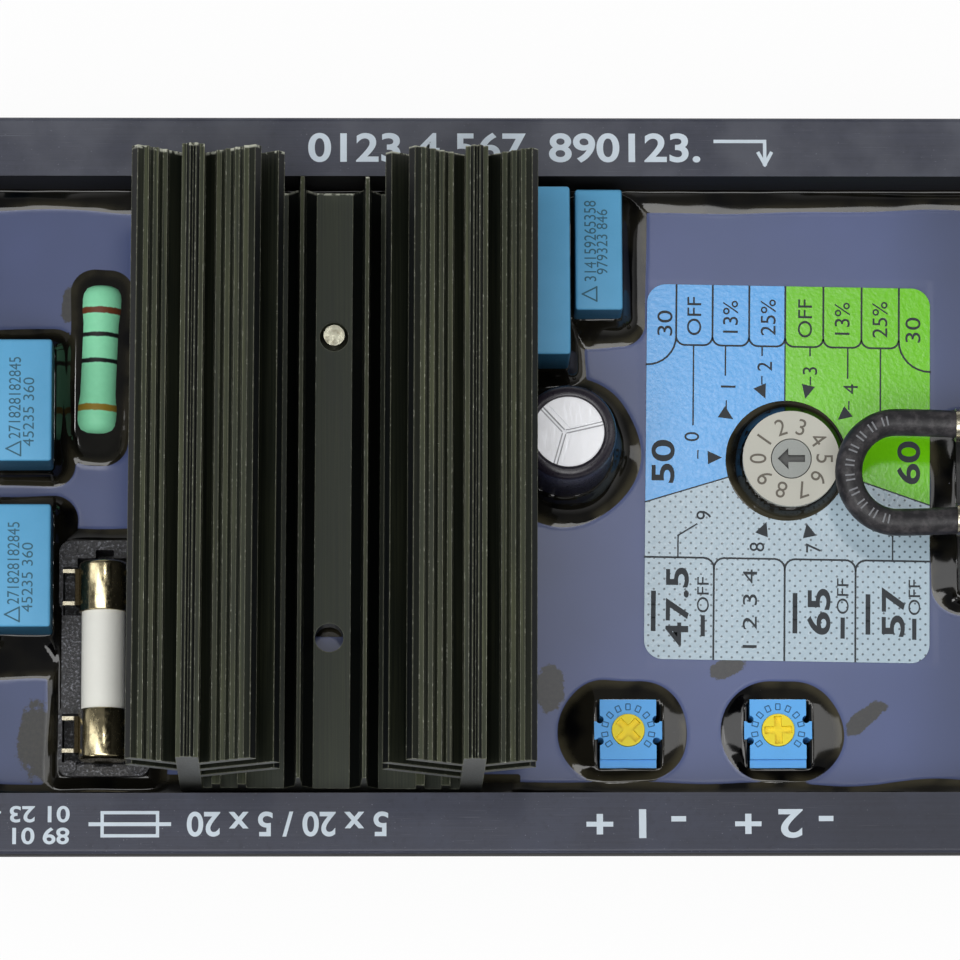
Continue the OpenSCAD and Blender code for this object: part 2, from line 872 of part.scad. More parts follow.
module small_film_capacitor_leads() {
    film_leads(small_film_x, small_film_y, film_l);
}

// Puts a shape at the resistor's middle, with Z along its axis
module at_resistor() {
    translate([resistor_x, resistor_y, board_top + resistor_rise])
        rotate([0, 0, resistor_turn_angle]) rotate([-90, 0, 0]) children();
}

// The body is a little thicker over its end caps than along its waist
module resistor_body() {
    waist_d = resistor_d * resistor_waist_share;
    color("#7fcf95") at_resistor() {
        cylinder(d = waist_d, h = resistor_l - resistor_end_l, center = true);
        for (side = [0, 1]) mirror([0, 0, side]) rotate_extrude() {
            translate([0, resistor_l / 2 - resistor_end_l])
                square([resistor_d / 2, resistor_end_l - resistor_end_r]);
            translate([0, resistor_l / 2 - resistor_end_l])
                square([resistor_d / 2 - resistor_end_r, resistor_end_l]);
            translate([resistor_d / 2 - resistor_end_r, resistor_l / 2 - resistor_end_r])
                intersection() {
                    circle(resistor_end_r);
                    square(resistor_end_r);
                }
        }
    }
}

module resistor_leads() {
    drop = board_t + resistor_rise + lead_tail;
    color("silver") at_resistor() for (side = [0, 1]) mirror([0, 0, side]) {
        translate([0, 0, resistor_l / 2]) cylinder(d = resistor_lead_d, h = resistor_lead_run);
        translate([0, 0, resistor_l / 2 + resistor_lead_run]) {
            sphere(d = resistor_lead_d);
            rotate([-90, 0, 0]) cylinder(d = resistor_lead_d, h = drop);
        }
    }
}

// The aluminium can, with three scored vents in its top
module electrolytic_can() {
    r = can_d / 2 - sleeve_t;
    top = can_h - can_top_drop;
    color("#d8dadd") translate([can_x, can_y, board_top]) difference() {
        cylinder(r = r, h = top);
        for (turn = vent_turns, side = [-1, 1])
            rotate(turn) translate([0, side * vent_score_gap / 2 - vent_score_w / 2, top - vent_score_h])
                cube([r * sleeve_lip_share, vent_score_w, vent_score_h + overrun]);
    }
}

// The plastic sleeve, shrunk over the can's top edge
module electrolytic_sleeve() {
    color("#1c1824") translate([can_x, can_y, board_top]) difference() {
        cylinder(d = can_d, h = can_h);
        translate([0, 0, -overrun]) cylinder(r = can_d / 2 - sleeve_t, h = can_h - can_top_drop + overrun);
        cylinder(r = can_d / 2 * sleeve_lip_share, h = can_h + overrun);
    }
}

module electrolytic_leads() {
    color("silver") lead_pair(can_x, can_y, can_lead_pitch, can_lead_d, 90);
}

// Outer form of the switch: a square body with a round neck for the dial
module switch_shell() {
    translate([0, 0, switch_body_h / 2]) cube([switch_w, switch_w, switch_body_h], center = true);
    cylinder(d = switch_neck_d, h = switch_h - dial_t);
}

module selector_body() {
    color("#17171a") translate([selector_x, selector_y, board_top]) difference() {
        switch_shell();
        translate([0, 0, switch_h - selector_depth])
            cylinder(d = selector_rotor_d + 2 * running_gap, h = selector_depth);
    }
}

// The numbered face, fixed to the body round the rotor
module selector_dial() {
    color("#d9d8cc") translate([selector_x, selector_y, board_top + switch_h - dial_t]) difference() {
        cylinder(d = dial_d, h = dial_t);
        translate([0, 0, -overrun])
            cylinder(d = selector_rotor_d + 2 * dial_hole_gap, h = dial_t + 2 * overrun);
    }
}

// The rotor, with an arrow-shaped slot that points to a number
module selector_rotor() {
    head_w = selector_rotor_d * arrow_head_share;
    slot_l = selector_rotor_d * (1 - 2 * (1 - arrow_head_share) / 3);
    color("#8e8f8c") translate([selector_x, selector_y, board_top + switch_h - selector_depth])
        difference() {
            cylinder(d = selector_rotor_d, h = selector_depth);
            translate([-slot_l / 2, 0, selector_depth - arrow_depth]) linear_extrude(arrow_depth + overrun) {
                translate([head_w / 3, -arrow_w / 2]) square([slot_l - head_w / 3, arrow_w]);
                polygon([[0, 0], [head_w / 2, head_w / 2], [head_w / 2, -head_w / 2]]);
            }
        }
}

module selector_pins() {
    color("silver") for (row = [-1, 1])
        lead_pair(selector_x + row * switch_pin_pitch / 3, selector_y, switch_pin_pitch, switch_pin_d);
}

module setting_label() {
    color("#9ccbe8") difference() {
        translate([label_x, label_y, resin_top]) rotate(label_turn_angle)
            linear_extrude(label_t) round_rect(label_w, label_l, label_corner_r);
        translate([selector_x + label_hole_shift[0], selector_y + label_hole_shift[1], resin_top - overrun])
            cylinder(d = label_hole_d, h = label_t + 2 * overrun);
    }
}

// A trimmer's moulded case: a wing on each side between round bites, and a low ledge along its front edge
module trimmer_shell(x) {
    translate([x, trimmer_y, board_top]) difference() {
        linear_extrude(trimmer_h) difference() {
            union() {
                square([trimmer_w - 2 * trimmer_notch_w, trimmer_l], center = true);
                translate([0, trimmer_rotor_shift]) square([trimmer_w, trimmer_wing_l], center = true);
            }
            for (side = [-1, 1], row = [-1, 1])
                translate([side * (trimmer_w / 2 - trimmer_notch_w),
                    trimmer_rotor_shift + row * (trimmer_wing_l / 2 + trimmer_bite_r / 2)])
                    circle(r = trimmer_bite_r);
        }
        translate([-trimmer_w / 2 - overrun, -trimmer_l / 2 - overrun, trimmer_h - trimmer_ledge_h])
            cube([trimmer_w + 2 * overrun, trimmer_ledge_l + overrun, trimmer_ledge_h + overrun]);
    }
}

module trimmer_body(x) {
    color("#5aa7d6") difference() {
        trimmer_shell(x);
        translate([x, rotor_y, board_top + trimmer_h - trimmer_bore_depth])
            cylinder(d = trimmer_rotor_d + 2 * running_gap, h = trimmer_bore_depth + overrun);
    }
}

// The rotor that a screwdriver turns, with a cross slot
module trimmer_rotor(x, turn) {
    h = trimmer_bore_depth + rotor_proud;
    color("#e6cf2e") translate([x, rotor_y, board_top + trimmer_h - trimmer_bore_depth]) difference() {
        cylinder(d = trimmer_rotor_d, h = h);
        for (quarter = [0, 90])
            rotate(turn + quarter) translate([-cross_l / 2, -cross_w / 2, h - cross_depth])
                cube([cross_l, cross_w, cross_depth + overrun]);
    }
}

module trimmer_pins(x) {
    color("silver") {
        lead_pair(x, trimmer_y, trimmer_pin_pitch, trimmer_pin_d);
        translate([x, trimmer_y, board_z - lead_tail])
            cylinder(d = trimmer_pin_d, h = board_t + lead_tail);
    }
}

module voltage_trimmer_body() {
    trimmer_body(voltage_trimmer_x);
}

module voltage_trimmer_rotor() {
    trimmer_rotor(voltage_trimmer_x, voltage_cross_angle);
}

module voltage_trimmer_pins() {
    trimmer_pins(voltage_trimmer_x);
}

module stability_trimmer_body() {
    trimmer_body(stability_trimmer_x);
}

module stability_trimmer_rotor() {
    trimmer_rotor(stability_trimmer_x, stability_cross_angle);
}

module stability_trimmer_pins() {
    trimmer_pins(stability_trimmer_x);
}

// Outline of a push-on blade of height h over the board, with two legs below it
module blade_outline(h) {
    tip_w = blade_w * blade_tip_share;
    difference() {
        polygon([[-blade_w / 2, 0], [blade_w / 2, 0], [blade_w / 2, h - blade_tip_l],
            [tip_w / 2, h], [-tip_w / 2, h], [-blade_w / 2, h - blade_tip_l]]);
        translate([0, h - blade_hole_drop]) circle(d = blade_hole_d);
    }
    for (side = [-1, 1])
        translate([side * (blade_w - blade_leg_w) / 2 - blade_leg_w / 2, -board_t - lead_tail])
            square([blade_leg_w, board_t + lead_tail + blade_foot_h]);
}

// A row of push-on blades for the leads to the generator
module blade_terminals() {
    color("#c8c4b4") for (i = [0:1:blade_count - 1])
        translate([blade_x, (i - (blade_count - 1) / 2) * blade_pitch, board_top])
            rotate([90, 0, 90]) translate([0, 0, -blade_t / 2]) linear_extrude(blade_t)
                blade_outline(blade_h);
}

// Y of one run of the jumper wire
function run_y(side) = jumper_y + side * jumper_pitch / 2;
// Y of the tab under that run: the tab lies on the receptacle's flat strip
function jumper_tab_y(side) = run_y(side) - barrel_d / 2 + strip_t + blade_t / 2 + push_gap;

module jumper_header() {
    color("#18181a") difference() {
        translate([header_x + header_w / 2, header_y, board_top]) linear_extrude(header_h)
            round_rect(header_w, header_l, header_corner_r);
        jumper_tab(1);
        jumper_tab(-1);
    }
}

module jumper_tab(side) {
    translate([tab_x, jumper_tab_y(side), board_top]) rotate([90, 0, 0])
        translate([0, 0, -blade_t / 2]) linear_extrude(blade_t)
            blade_outline(header_h + receptacle_l - tab_top_gap);
}

module rear_jumper_tab() {
    color("#c8c4b4") jumper_tab(1);
}

module front_jumper_tab() {
    color("#c8c4b4") jumper_tab(-1);
}

// The wire bends back on itself between its two crimped ends
module jumper_wire() {
    run_l = barrel_x + barrel_l - jumper_arc_x;
    color("#26282c") translate([jumper_arc_x, jumper_y, wire_z]) {
        rotate(90) rotate_extrude(angle = 180) translate([jumper_pitch / 2, 0]) circle(d = wire_d);
        for (side = [-1, 1])
            translate([0, side * jumper_pitch / 2, 0]) rotate([0, 90, 0]) cylinder(d = wire_d, h = run_l);
    }
}

// Section of the push-on part: a flat strip with both edges curled over the tab
module receptacle_section() {
    curl_x = receptacle_w / 2 - strip_t - curl_d / 2;
    difference() {
        translate([0, receptacle_t / 2]) round_rect(receptacle_w, receptacle_t, strip_t);
        translate([-blade_w / 2 - push_gap, strip_t])
            square([blade_w + 2 * push_gap, blade_t + 2 * push_gap]);
        for (side = [-1, 1])
            translate([side * curl_x, receptacle_t - strip_t - curl_d / 4]) circle(d = curl_d / 2);
        translate([-curl_mouth / 2, strip_t]) square([curl_mouth, receptacle_t]);
    }
}

// A push-on receptacle with its crimp barrel standing out to one side
module receptacle(side) {
    strip_y = run_y(side) - barrel_d / 2;
    color("#cfc9b0") {
        translate([tab_x, strip_y, receptacle_z]) linear_extrude(receptacle_l) receptacle_section();
        translate([barrel_x, run_y(side), wire_z]) rotate([0, 90, 0]) difference() {
            cylinder(d = barrel_d, h = barrel_l);
            translate([0, 0, -overrun])
                cylinder(d = wire_d + 2 * barrel_wall_gap, h = barrel_l + 2 * overrun);
        }
        translate([barrel_x + barrel_l - strip_t, strip_y, wire_z - barrel_d / 4])
            cube([neck_l + 2 * strip_t, strip_t, barrel_d / 2]);
    }
}

module rear_receptacle() {
    receptacle(1);
}

module front_receptacle() {
    receptacle(-1);
}

channel_housing();
left_end_dam();
right_end_dam();
potting_resin();
circuit_board();
heat_sink();
heat_sink_pins();
transistor_body();
transistor_leadframe();
insulating_pad();
transistor_screw();
fuse_holder();
rear_fuse_clip();
front_fuse_clip();
fuse_tube();
rear_fuse_cap();
front_fuse_cap();
rear_film_capacitor();
rear_film_capacitor_leads();
front_film_capacitor();
front_film_capacitor_leads();
tall_film_capacitor();
tall_film_capacitor_leads();
small_film_capacitor();
small_film_capacitor_leads();
resistor_body();
resistor_leads();
electrolytic_can();
electrolytic_sleeve();
electrolytic_leads();
selector_body();
selector_dial();
selector_rotor();
selector_pins();
setting_label();
voltage_trimmer_body();
voltage_trimmer_rotor();
voltage_trimmer_pins();
stability_trimmer_body();
stability_trimmer_rotor();
stability_trimmer_pins();
blade_terminals();
jumper_header();
rear_jumper_tab();
front_jumper_tab();
jumper_wire();
rear_receptacle();
front_receptacle();
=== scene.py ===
import math

import bmesh
import bpy
import numpy as np
from mathutils import Matrix, Vector


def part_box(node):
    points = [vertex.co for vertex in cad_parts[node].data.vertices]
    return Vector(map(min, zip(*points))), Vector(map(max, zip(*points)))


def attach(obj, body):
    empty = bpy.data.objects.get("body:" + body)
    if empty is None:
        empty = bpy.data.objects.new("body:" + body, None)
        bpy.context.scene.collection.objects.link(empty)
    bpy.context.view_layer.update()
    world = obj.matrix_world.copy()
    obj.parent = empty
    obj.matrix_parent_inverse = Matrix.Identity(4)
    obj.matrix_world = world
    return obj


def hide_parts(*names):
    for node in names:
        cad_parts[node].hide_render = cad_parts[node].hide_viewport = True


# Dressing of a potted generator voltage regulator. Lengths are in millimetres
# until a mesh is made, and mm() turns them into metres.

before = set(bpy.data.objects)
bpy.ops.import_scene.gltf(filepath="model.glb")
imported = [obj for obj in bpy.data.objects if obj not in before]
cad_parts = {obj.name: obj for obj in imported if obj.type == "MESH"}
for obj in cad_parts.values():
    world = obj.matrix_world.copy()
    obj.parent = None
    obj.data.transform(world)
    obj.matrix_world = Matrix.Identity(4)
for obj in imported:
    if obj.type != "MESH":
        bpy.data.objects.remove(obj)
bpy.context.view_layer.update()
scene = bpy.context.scene
MM = 0.001
ROOT = "regulator"


def mm(*values):
    return Vector([v * MM for v in values])


def box_mm(node):
    low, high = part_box(node)
    return [v / MM for v in low], [v / MM for v in high]


# Camera at the photograph's angle

CAMERA_TARGET = (-4.0, 0.0, 24.0)
CAMERA_DISTANCE = 700.0
CAMERA_TILT = math.radians(10.4)
CAMERA_SIDE_TILT = math.radians(1.3)
FOCAL_PIXELS = 6720.0
FRAME_PIXELS = 960.0
SENSOR_WIDTH = 36.0
CENTRE_DROP_PIXELS = 1.7


def make_camera():
    data = bpy.data.cameras.new("camera")
    data.sensor_width = SENSOR_WIDTH
    data.lens = FOCAL_PIXELS / FRAME_PIXELS * SENSOR_WIDTH
    data.shift_y = CENTRE_DROP_PIXELS / FRAME_PIXELS
    camera = bpy.data.objects.new("camera", data)
    scene.collection.objects.link(camera)
    target = mm(*CAMERA_TARGET)
    back = Vector((-math.tan(CAMERA_SIDE_TILT), -math.tan(CAMERA_TILT), 1.0)).normalized()
    right = Vector((1.0, 0.0, 0.0))
    right = (right - back * right.dot(back)).normalized()
    up = back.cross(right)
    turn = Matrix((right, up, back)).transposed().to_4x4()
    camera.matrix_world = Matrix.Translation(target + back * CAMERA_DISTANCE * MM) @ turn
    scene.camera = camera


# Shader sums: a socket that takes part in expressions, and a material that makes nodes


class Signal:
    def __init__(self, finish, link):
        self.finish = finish
        self.link = link

    def math(self, kind, *others):
        return self.finish.math(kind, self, *others)

    def __add__(self, other):
        return self.math("ADD", other)

    def __sub__(self, other):
        return self.math("SUBTRACT", other)

    def __rsub__(self, other):
        return self.finish.math("SUBTRACT", other, self)

    def __mul__(self, other):
        return self.math("MULTIPLY", other)

    def __truediv__(self, other):
        return self.math("DIVIDE", other)

    def __neg__(self):
        return self.math("MULTIPLY", -1.0)

    def __gt__(self, other):
        return self.math("GREATER_THAN", other)

    def __lt__(self, other):
        return self.math("LESS_THAN", other)

    def size(self):
        return self.math("ABSOLUTE")

    def clamp(self):
        return self.finish.node("ShaderNodeClamp", {}, [self])

    __radd__ = __add__
    __rmul__ = __mul__


class Finish:
    def __init__(self, name, **constants):
        self.material = bpy.data.materials.new(name)
        self.material.use_nodes = True
        self.tree = self.material.node_tree
        self.shader = self.tree.nodes["Principled BSDF"]
        self.set(**constants)

    def set(self, **sockets):
        for name, value in sockets.items():
            socket = self.shader.inputs[name.replace("_", " ")]
            if isinstance(value, Signal):
                self.tree.links.new(value.link, socket)
            else:
                socket.default_value = (*value, 1.0) if isinstance(value, tuple) else value
        return self

    def node(self, kind, settings, inputs, out=0):
        made = self.tree.nodes.new(kind)
        for name, value in settings.items():
            if name == "stops":
                ramp = made.color_ramp
                while len(ramp.elements) < len(value):
                    ramp.elements.new(0.5)
                for element, (place, colour) in zip(ramp.elements, value):
                    element.position = place
                    element.color = (*colour, 1.0)
            else:
                setattr(made, name, value)
        pairs = inputs.items() if isinstance(inputs, dict) else enumerate(inputs)
        for name, value in pairs:
            if isinstance(value, Signal):
                self.tree.links.new(value.link, made.inputs[name])
            elif value is not None:
                made.inputs[name].default_value = value
        return Signal(self, made.outputs[out])

    def math(self, kind, *values):
        return self.node("ShaderNodeMath", {"operation": kind}, list(values))

    def place(self, turn=0.0, centre=(0.0, 0.0, 0.0)):
        """Object coordinates in millimetres, centred and turned about Z."""
        where = self.node("ShaderNodeTexCoord", {}, [], "Object")
        where = self.node("ShaderNodeVectorMath", {"operation": "SCALE"}, {0: where, "Scale": 1 / MM})
        if turn or any(centre):
            where = self.node("ShaderNodeVectorMath", {"operation": "SUBTRACT"}, [where, centre])
            where = self.node("ShaderNodeVectorRotate", {"rotation_type": "Z_AXIS"},
                              {"Vector": where, "Angle": -turn})
        return where

    def axes(self, where):
        return [self.node("ShaderNodeSeparateXYZ", {}, [where], i) for i in range(3)]

    def facing(self):
        """The three parts of the surface's own normal."""
        return self.axes(self.node("ShaderNodeTexCoord", {}, [], "Normal"))

    def stretch(self, where, scale):
        return self.node("ShaderNodeVectorMath", {"operation": "MULTIPLY"}, [where, scale])

    def noise(self, where, scale=1.0, detail=2.0, roughness=0.5):
        return self.node("ShaderNodeTexNoise", {}, {"Vector": where, "Scale": scale, "Detail": detail,
                                                    "Roughness": roughness})

    def step(self, value, low, high, bottom=0.0, top=1.0):
        """A smooth step from bottom to top as value goes from low to high."""
        return self.node("ShaderNodeMapRange", {"interpolation_type": "SMOOTHSTEP"},
                         [value, low, high, bottom, top])

    def mix(self, share, first, second):
        """Colour between first and second."""
        first, second = [(*c, 1.0) if isinstance(c, tuple) else c for c in (first, second)]
        return self.node("ShaderNodeMix", {"data_type": "RGBA"}, {0: share, 6: first, 7: second}, 2)

    def bump(self, height, strength=0.3, distance=0.05):
        bumped = self.node("ShaderNodeBump", {}, {"Strength": strength, "Distance": distance * MM,
                                                  "Height": height})
        return self.set(Normal=bumped)

    def edges(self, radius=0.12):
        """1 on sharp edges and 0 on flat faces."""
        soft = self.node("ShaderNodeBevel", {"samples": 4}, {"Radius": radius * MM})
        flat = self.node("ShaderNodeNewGeometry", {}, [], "Normal")
        dot = self.node("ShaderNodeVectorMath", {"operation": "DOT_PRODUCT"}, [soft, flat], 1)
        return self.step(dot, 0.99, 0.9)


def srgb(*values):
    """A colour given as it looks on a screen, from 0 to 255, as linear light."""
    return tuple(c / 255 / 12.92 if c / 255 <= 0.04045 else ((c / 255 + 0.055) / 1.055) ** 2.4
                 for c in values)


# Finishes


def anodised_channel():
    f = Finish("anodised_channel", Specular_IOR_Level=0.42)
    where = f.place()
    streaks = f.noise(f.stretch(where, (0.04, 6.0, 6.0)), 1.0, 4.0, 0.65)
    cloud = f.noise(where, 0.14, 3.0)
    scratch = f.step(f.noise(f.stretch(where, (0.12, 16.0, 16.0)), 1.0, 2.0, 0.7), 0.68, 0.74)
    speck = f.step(f.noise(where, 5.0, 2.0, 0.6), 0.71, 0.75)
    mottle = f.noise(where, 1.3, 4.0, 0.65)
    base = f.mix(streaks, srgb(30, 32, 46), srgb(62, 66, 82))
    base = f.mix(f.step(cloud, 0.4, 0.75, 0.0, 0.5), base, srgb(60, 65, 84))
    base = f.mix(f.step(mottle, 0.5, 0.8, 0.0, 0.4), base, srgb(26, 28, 40))
    base = f.mix(f.math("MAXIMUM", scratch * 0.3, speck * 0.7), base, srgb(160, 164, 174))
    far = f.step(f.axes(where)[1], 20.0, 34.0)
    base = f.mix(far * f.step(cloud, 0.3, 0.7, 0.1, 0.45), base, srgb(96, 98, 104))
    shade = f.step(f.axes(where)[0], 5.0, 40.0) * f.step(f.axes(where)[1], 0.0, -30.0)
    base = f.mix(shade * 0.35, base, srgb(22, 24, 32))
    # Painted shade: faces that face along Y, the channel's inner walls, are painted near black and made rougher.
    side = f.step(f.facing()[1].size(), 0.8, 0.95)
    base = f.mix(side, base, srgb(5, 5, 8))
    # Painted highlight: a lighter grey line along the edges.
    base = f.mix(f.edges(0.08) * 0.25, base, srgb(130, 132, 140))
    f.set(Base_Color=base, Roughness=f.step(streaks, 0.2, 0.8, 0.36, 0.5) + side * 0.35)
    return f.bump(streaks + scratch * 0.5, 0.3, 0.02).material


def anodised_sink():
    """Black extrusion with a painted lit olive where it faces up and a painted highlight along its edges, with drawn
    lines, sawn ends and chipped edges.
    """
    f = Finish("anodised_sink", Specular_IOR_Level=0.2)
    where = f.place()
    _, y, z = f.axes(where)
    lines = f.noise(f.stretch(where, (5.0, 0.04, 5.0)), 1.0, 4.0, 0.65)
    blotch = f.noise(f.stretch(where, (1.0, 0.3, 1.0)), 0.3, 3.0)
    _, along, up = f.facing()
    sawn = f.step(along.size(), 0.85, 0.95)
    saw_marks = f.noise(f.stretch(where, (2.0, 1.0, 9.0)), 1.0, 3.0, 0.6)
    base = f.mix(lines, srgb(5, 6, 8), srgb(17, 20, 19))
    # Painted light: faces that face up get a lit olive, lighter and greyer on the low base floor, while the other
    # faces stay black.
    olive = f.mix(f.step(lines, 0.25, 0.75), srgb(22, 26, 18), srgb(74, 78, 54))
    olive = f.mix(f.step(blotch, 0.3, 0.7, 0.0, 0.5), olive, srgb(34, 40, 32))
    olive = f.mix(f.step(z, 21.0, 19.0), olive, f.mix(lines, srgb(64, 70, 64), srgb(82, 88, 80)))
    base = f.mix(f.step(up, 0.7, 0.97), base, olive)
    base = f.mix(sawn, base, f.mix(saw_marks, srgb(62, 64, 62), srgb(104, 106, 104)))
    edge = f.edges(0.17)
    chips = f.step(f.noise(f.stretch(where, (1.0, 0.8, 1.0)), 2.2, 3.0, 0.75), 0.54, 0.68)
    burr = f.step(y, 31.35, 31.6) * f.step(f.noise(where, 0.9, 3.0, 0.7), 0.44, 0.56)
    worn = f.math("MAXIMUM", edge * chips, burr * f.step(up, 0.2, 0.6))
    # Painted highlight: a lighter line along every edge. The chips and the burr below are wear.
    base = f.mix(edge * 0.55, base, srgb(136, 138, 118))
    base = f.mix(worn * 0.85, base, srgb(196, 198, 182))
    f.set(Base_Color=base, Roughness=f.step(lines, 0.2, 0.8, 0.3, 0.46), Metallic=worn * 0.4)
    return f.bump(lines + saw_marks * sawn * 0.5, 0.3, 0.03).material


def plain(name, colour, roughness=0.4, grain=6.0, variation=0.12, depth=0.01, **more):
    """A moulded or drawn surface with a little grain and colour variation."""
    f = Finish(name, **more)
    where = f.place()
    fine = f.noise(where, grain, 3.0, 0.6)
    broad = f.noise(where, 0.5, 2.0)
    dark = tuple(c * (1 - variation) for c in colour)
    light = tuple(min(1.0, c * (1 + variation)) for c in colour)
    f.set(Base_Color=f.mix(fine * 0.5 + broad * 0.5, dark, light),
          Roughness=f.step(fine, 0.2, 0.8, roughness - 0.06, roughness + 0.06))
    return f.bump(fine, 0.2, depth).material


def grained(name, colour):
    """A spark-eroded moulding with a coarse grain whose high points carry a painted sparkle of light grey."""
    f = Finish(name, Specular_IOR_Level=0.6)
    where = f.place()
    coarse = f.noise(where, 3.6, 3.0, 0.7)
    painted_sparkle = f.step(coarse, 0.5, 0.72)
    f.set(Base_Color=f.mix(painted_sparkle, colour, srgb(128, 130, 138)), Roughness=f.step(coarse, 0.3, 0.7, 0.5, 0.3))
    return f.bump(coarse, 0.8, 0.16).material


def metal(name, colour, roughness=0.28, tarnish=srgb(110, 98, 74)):
    """Tinned or plated metal with drawn lines and a little tarnish."""
    f = Finish(name, Metallic=1.0)
    where = f.place()
    drawn = f.noise(f.stretch(where, (1.0, 1.0, 7.0)), 2.0, 3.0, 0.6)
    spots = f.step(f.noise(where, 1.6, 3.0, 0.6), 0.5, 0.72, 0.0, 0.5)
    f.set(Base_Color=f.mix(spots, colour, tarnish), Roughness=f.step(drawn, 0.2, 0.8, roughness - 0.08,
                                                                     roughness + 0.1))
    return f.bump(drawn, 0.15, 0.01).material


def fuse_spring():
    """Tinned ears on a spring with painted shade, dark brown, where it wraps the fuse."""
    f = Finish("fuse_spring", Metallic=1.0)
    where = f.place()
    low, high = box_mm("fuse_tube")
    away = (f.axes(where)[0] - (low[0] + high[0]) / 2).size()
    fine = f.noise(where, 3.0, 3.0, 0.6)
    ear = f.step(away, 2.95, 3.15)
    base = f.mix(fine, srgb(176, 166, 138), srgb(214, 208, 188))
    # Painted shade: the spring is painted dark near the fuse and tinned out on the ears.
    f.set(Base_Color=f.mix(ear, srgb(46, 40, 28), base), Roughness=f.step(fine, 0.2, 0.8, 0.22, 0.36))
    return f.bump(fine, 0.2, 0.02).material


def cast_resin():
    """Flat resin, blue partly as its own colour and partly as a painted reflection of the studio light, clear dark
    beads round the parts, painted shadow in the sink's shade and a few dull patches, from two mesh fields.
    """
    f = Finish("cast_resin", Specular_IOR_Level=0.5)
    where = f.place()
    edge = f.node("ShaderNodeAttribute", {"attribute_name": "edge"}, [], "Fac")
    patch = f.node("ShaderNodeAttribute", {"attribute_name": "patch"}, [], "Fac")
    broad = f.noise(where, 0.06, 3.0)
    fine = f.noise(where, 2.5, 4.0, 0.7)
    # edge is below zero in the beads and in the SHADES boxes, so the resin takes the near-black bead colour there;
    # in the SHADES boxes that black is a painted shadow.
    wet = f.step(edge, 0.03, -0.06)
    # The flat field's blue is partly the resin's own colour and partly a painted reflection of the studio light.
    flat = f.mix(broad, srgb(72, 84, 118), srgb(88, 100, 150))
    # Painted shade: the flat field is darker towards both ends.
    ends = f.step(f.axes(where)[0], 38.0, 48.0, 0.0, 0.5) + f.step(f.axes(where)[0], -38.0, -50.0, 0.0, 0.35)
    flat = f.mix(ends, flat, srgb(54, 61, 84))
    flat = f.mix(f.step(fine, 0.6, 0.8, 0.0, 0.12), flat, srgb(110, 110, 150))
    brown = f.step(f.noise(where, 0.22, 2.0), 0.32, 0.58) * f.step(edge, -1.3, -0.2)
    x, y, _ = f.axes(where)
    brown = brown * f.step(x, -45.0, 0.0, 0.55, 1.0)
    # Painted shade: by the stability trimmer's left side and along the far wall the brownish clear resin is taken
    # out, leaving the beads near black.
    stability_pool_painted_shade = f.step((x - 22.6).size(), 2.0, 1.1) * f.step(y, -16.0, -20.0)
    far_wall_painted_shade = f.step(y, 27.0, 29.5) * f.step(x, 6.0, 20.0, 0.0, 0.4)
    brown = brown * (1 - stability_pool_painted_shade - far_wall_painted_shade)
    pool = f.mix(brown, srgb(4, 4, 5), srgb(66, 62, 48))
    rough = patch + (f.noise(where, 1.1, 4.0, 0.7) - 0.5) * 0.9
    base = f.mix(f.step(rough, 0.0, 0.15, 0.0, 0.9), flat, f.mix(fine, srgb(28, 27, 22), srgb(72, 70, 56)))
    base = f.mix(wet, base, pool)
    dust = f.step(f.noise(where, 4.0, 2.0, 0.5), 0.79, 0.82)
    base = f.mix(dust * 0.4, base, srgb(170, 170, 190))
    f.set(Base_Color=base, Roughness=f.step(wet, 0.0, 1.0, 0.28, 0.08))
    return f.bump(fine, 0.05, 0.02).material


def capacitor_blue():
    f = Finish("capacitor_blue", Specular_IOR_Level=0.3)
    where = f.place()
    fine = f.noise(where, 5.0, 3.0, 0.6)
    broad = f.noise(where, 0.35, 2.0)
    top = f.step(f.facing()[2], 0.3, 0.8)
    base = f.mix(broad, srgb(82, 158, 202), srgb(96, 172, 218))
    base = f.mix(fine * top * 0.4, base, srgb(116, 176, 212))
    # Painted highlight: a lighter blue along the edges.
    base = f.mix(f.edges(0.14) * 0.35, base, srgb(130, 196, 232))
    # Painted shade: faces that don't face up are darkened most of the way to near black.
    base = f.mix(top, f.mix(0.72, base, srgb(4, 14, 22)), base)
    f.set(Base_Color=base, Roughness=f.step(fine, 0.2, 0.8, 0.4, 0.54))
    return f.bump(fine, 0.25, 0.02).material


RESISTOR_CENTRE = (-43.95, 14.6, 14.9)
RESISTOR_TURN = math.radians(-2.2)
RESISTOR_BANDS = [(5.15, 0.32, (110, 60, 35)), (2.55, 0.22, (25, 28, 28)), (-0.25, 0.22, (25, 28, 28)),
                  (-5.3, 0.34, (150, 125, 45))]


def resistor_lacquer():
    f = Finish("resistor_lacquer", Roughness=0.5, Specular_IOR_Level=0.3)
    where = f.place(RESISTOR_TURN, RESISTOR_CENTRE)
    along = f.axes(where)[1]
    fine = f.noise(where, 1.4, 3.0, 0.6)
    base = f.mix(fine, srgb(142, 232, 182), srgb(156, 244, 196))
    wobble = along + (fine - 0.5) * 0.25
    for place, half, colour in RESISTOR_BANDS:
        band = f.step((wobble - place).size(), half + 0.08, half - 0.05)
        base = f.mix(band, base, srgb(*colour))
    f.set(Base_Color=base)
    return f.bump(fine, 0.3, 0.05).material


LABEL_CENTRE = (28.65, 2.4, 16.0)
LABEL_TURN = math.radians(-1.0)
LABEL_DIVIDE_X = -0.35
LABEL_DOT_PITCH = 1.1
# slope and height at the label's middle of the borders that end the blue and the green field
BLUE_BORDER = (0.32, 1.43)
GREEN_BORDER = (-0.335, 1.79)


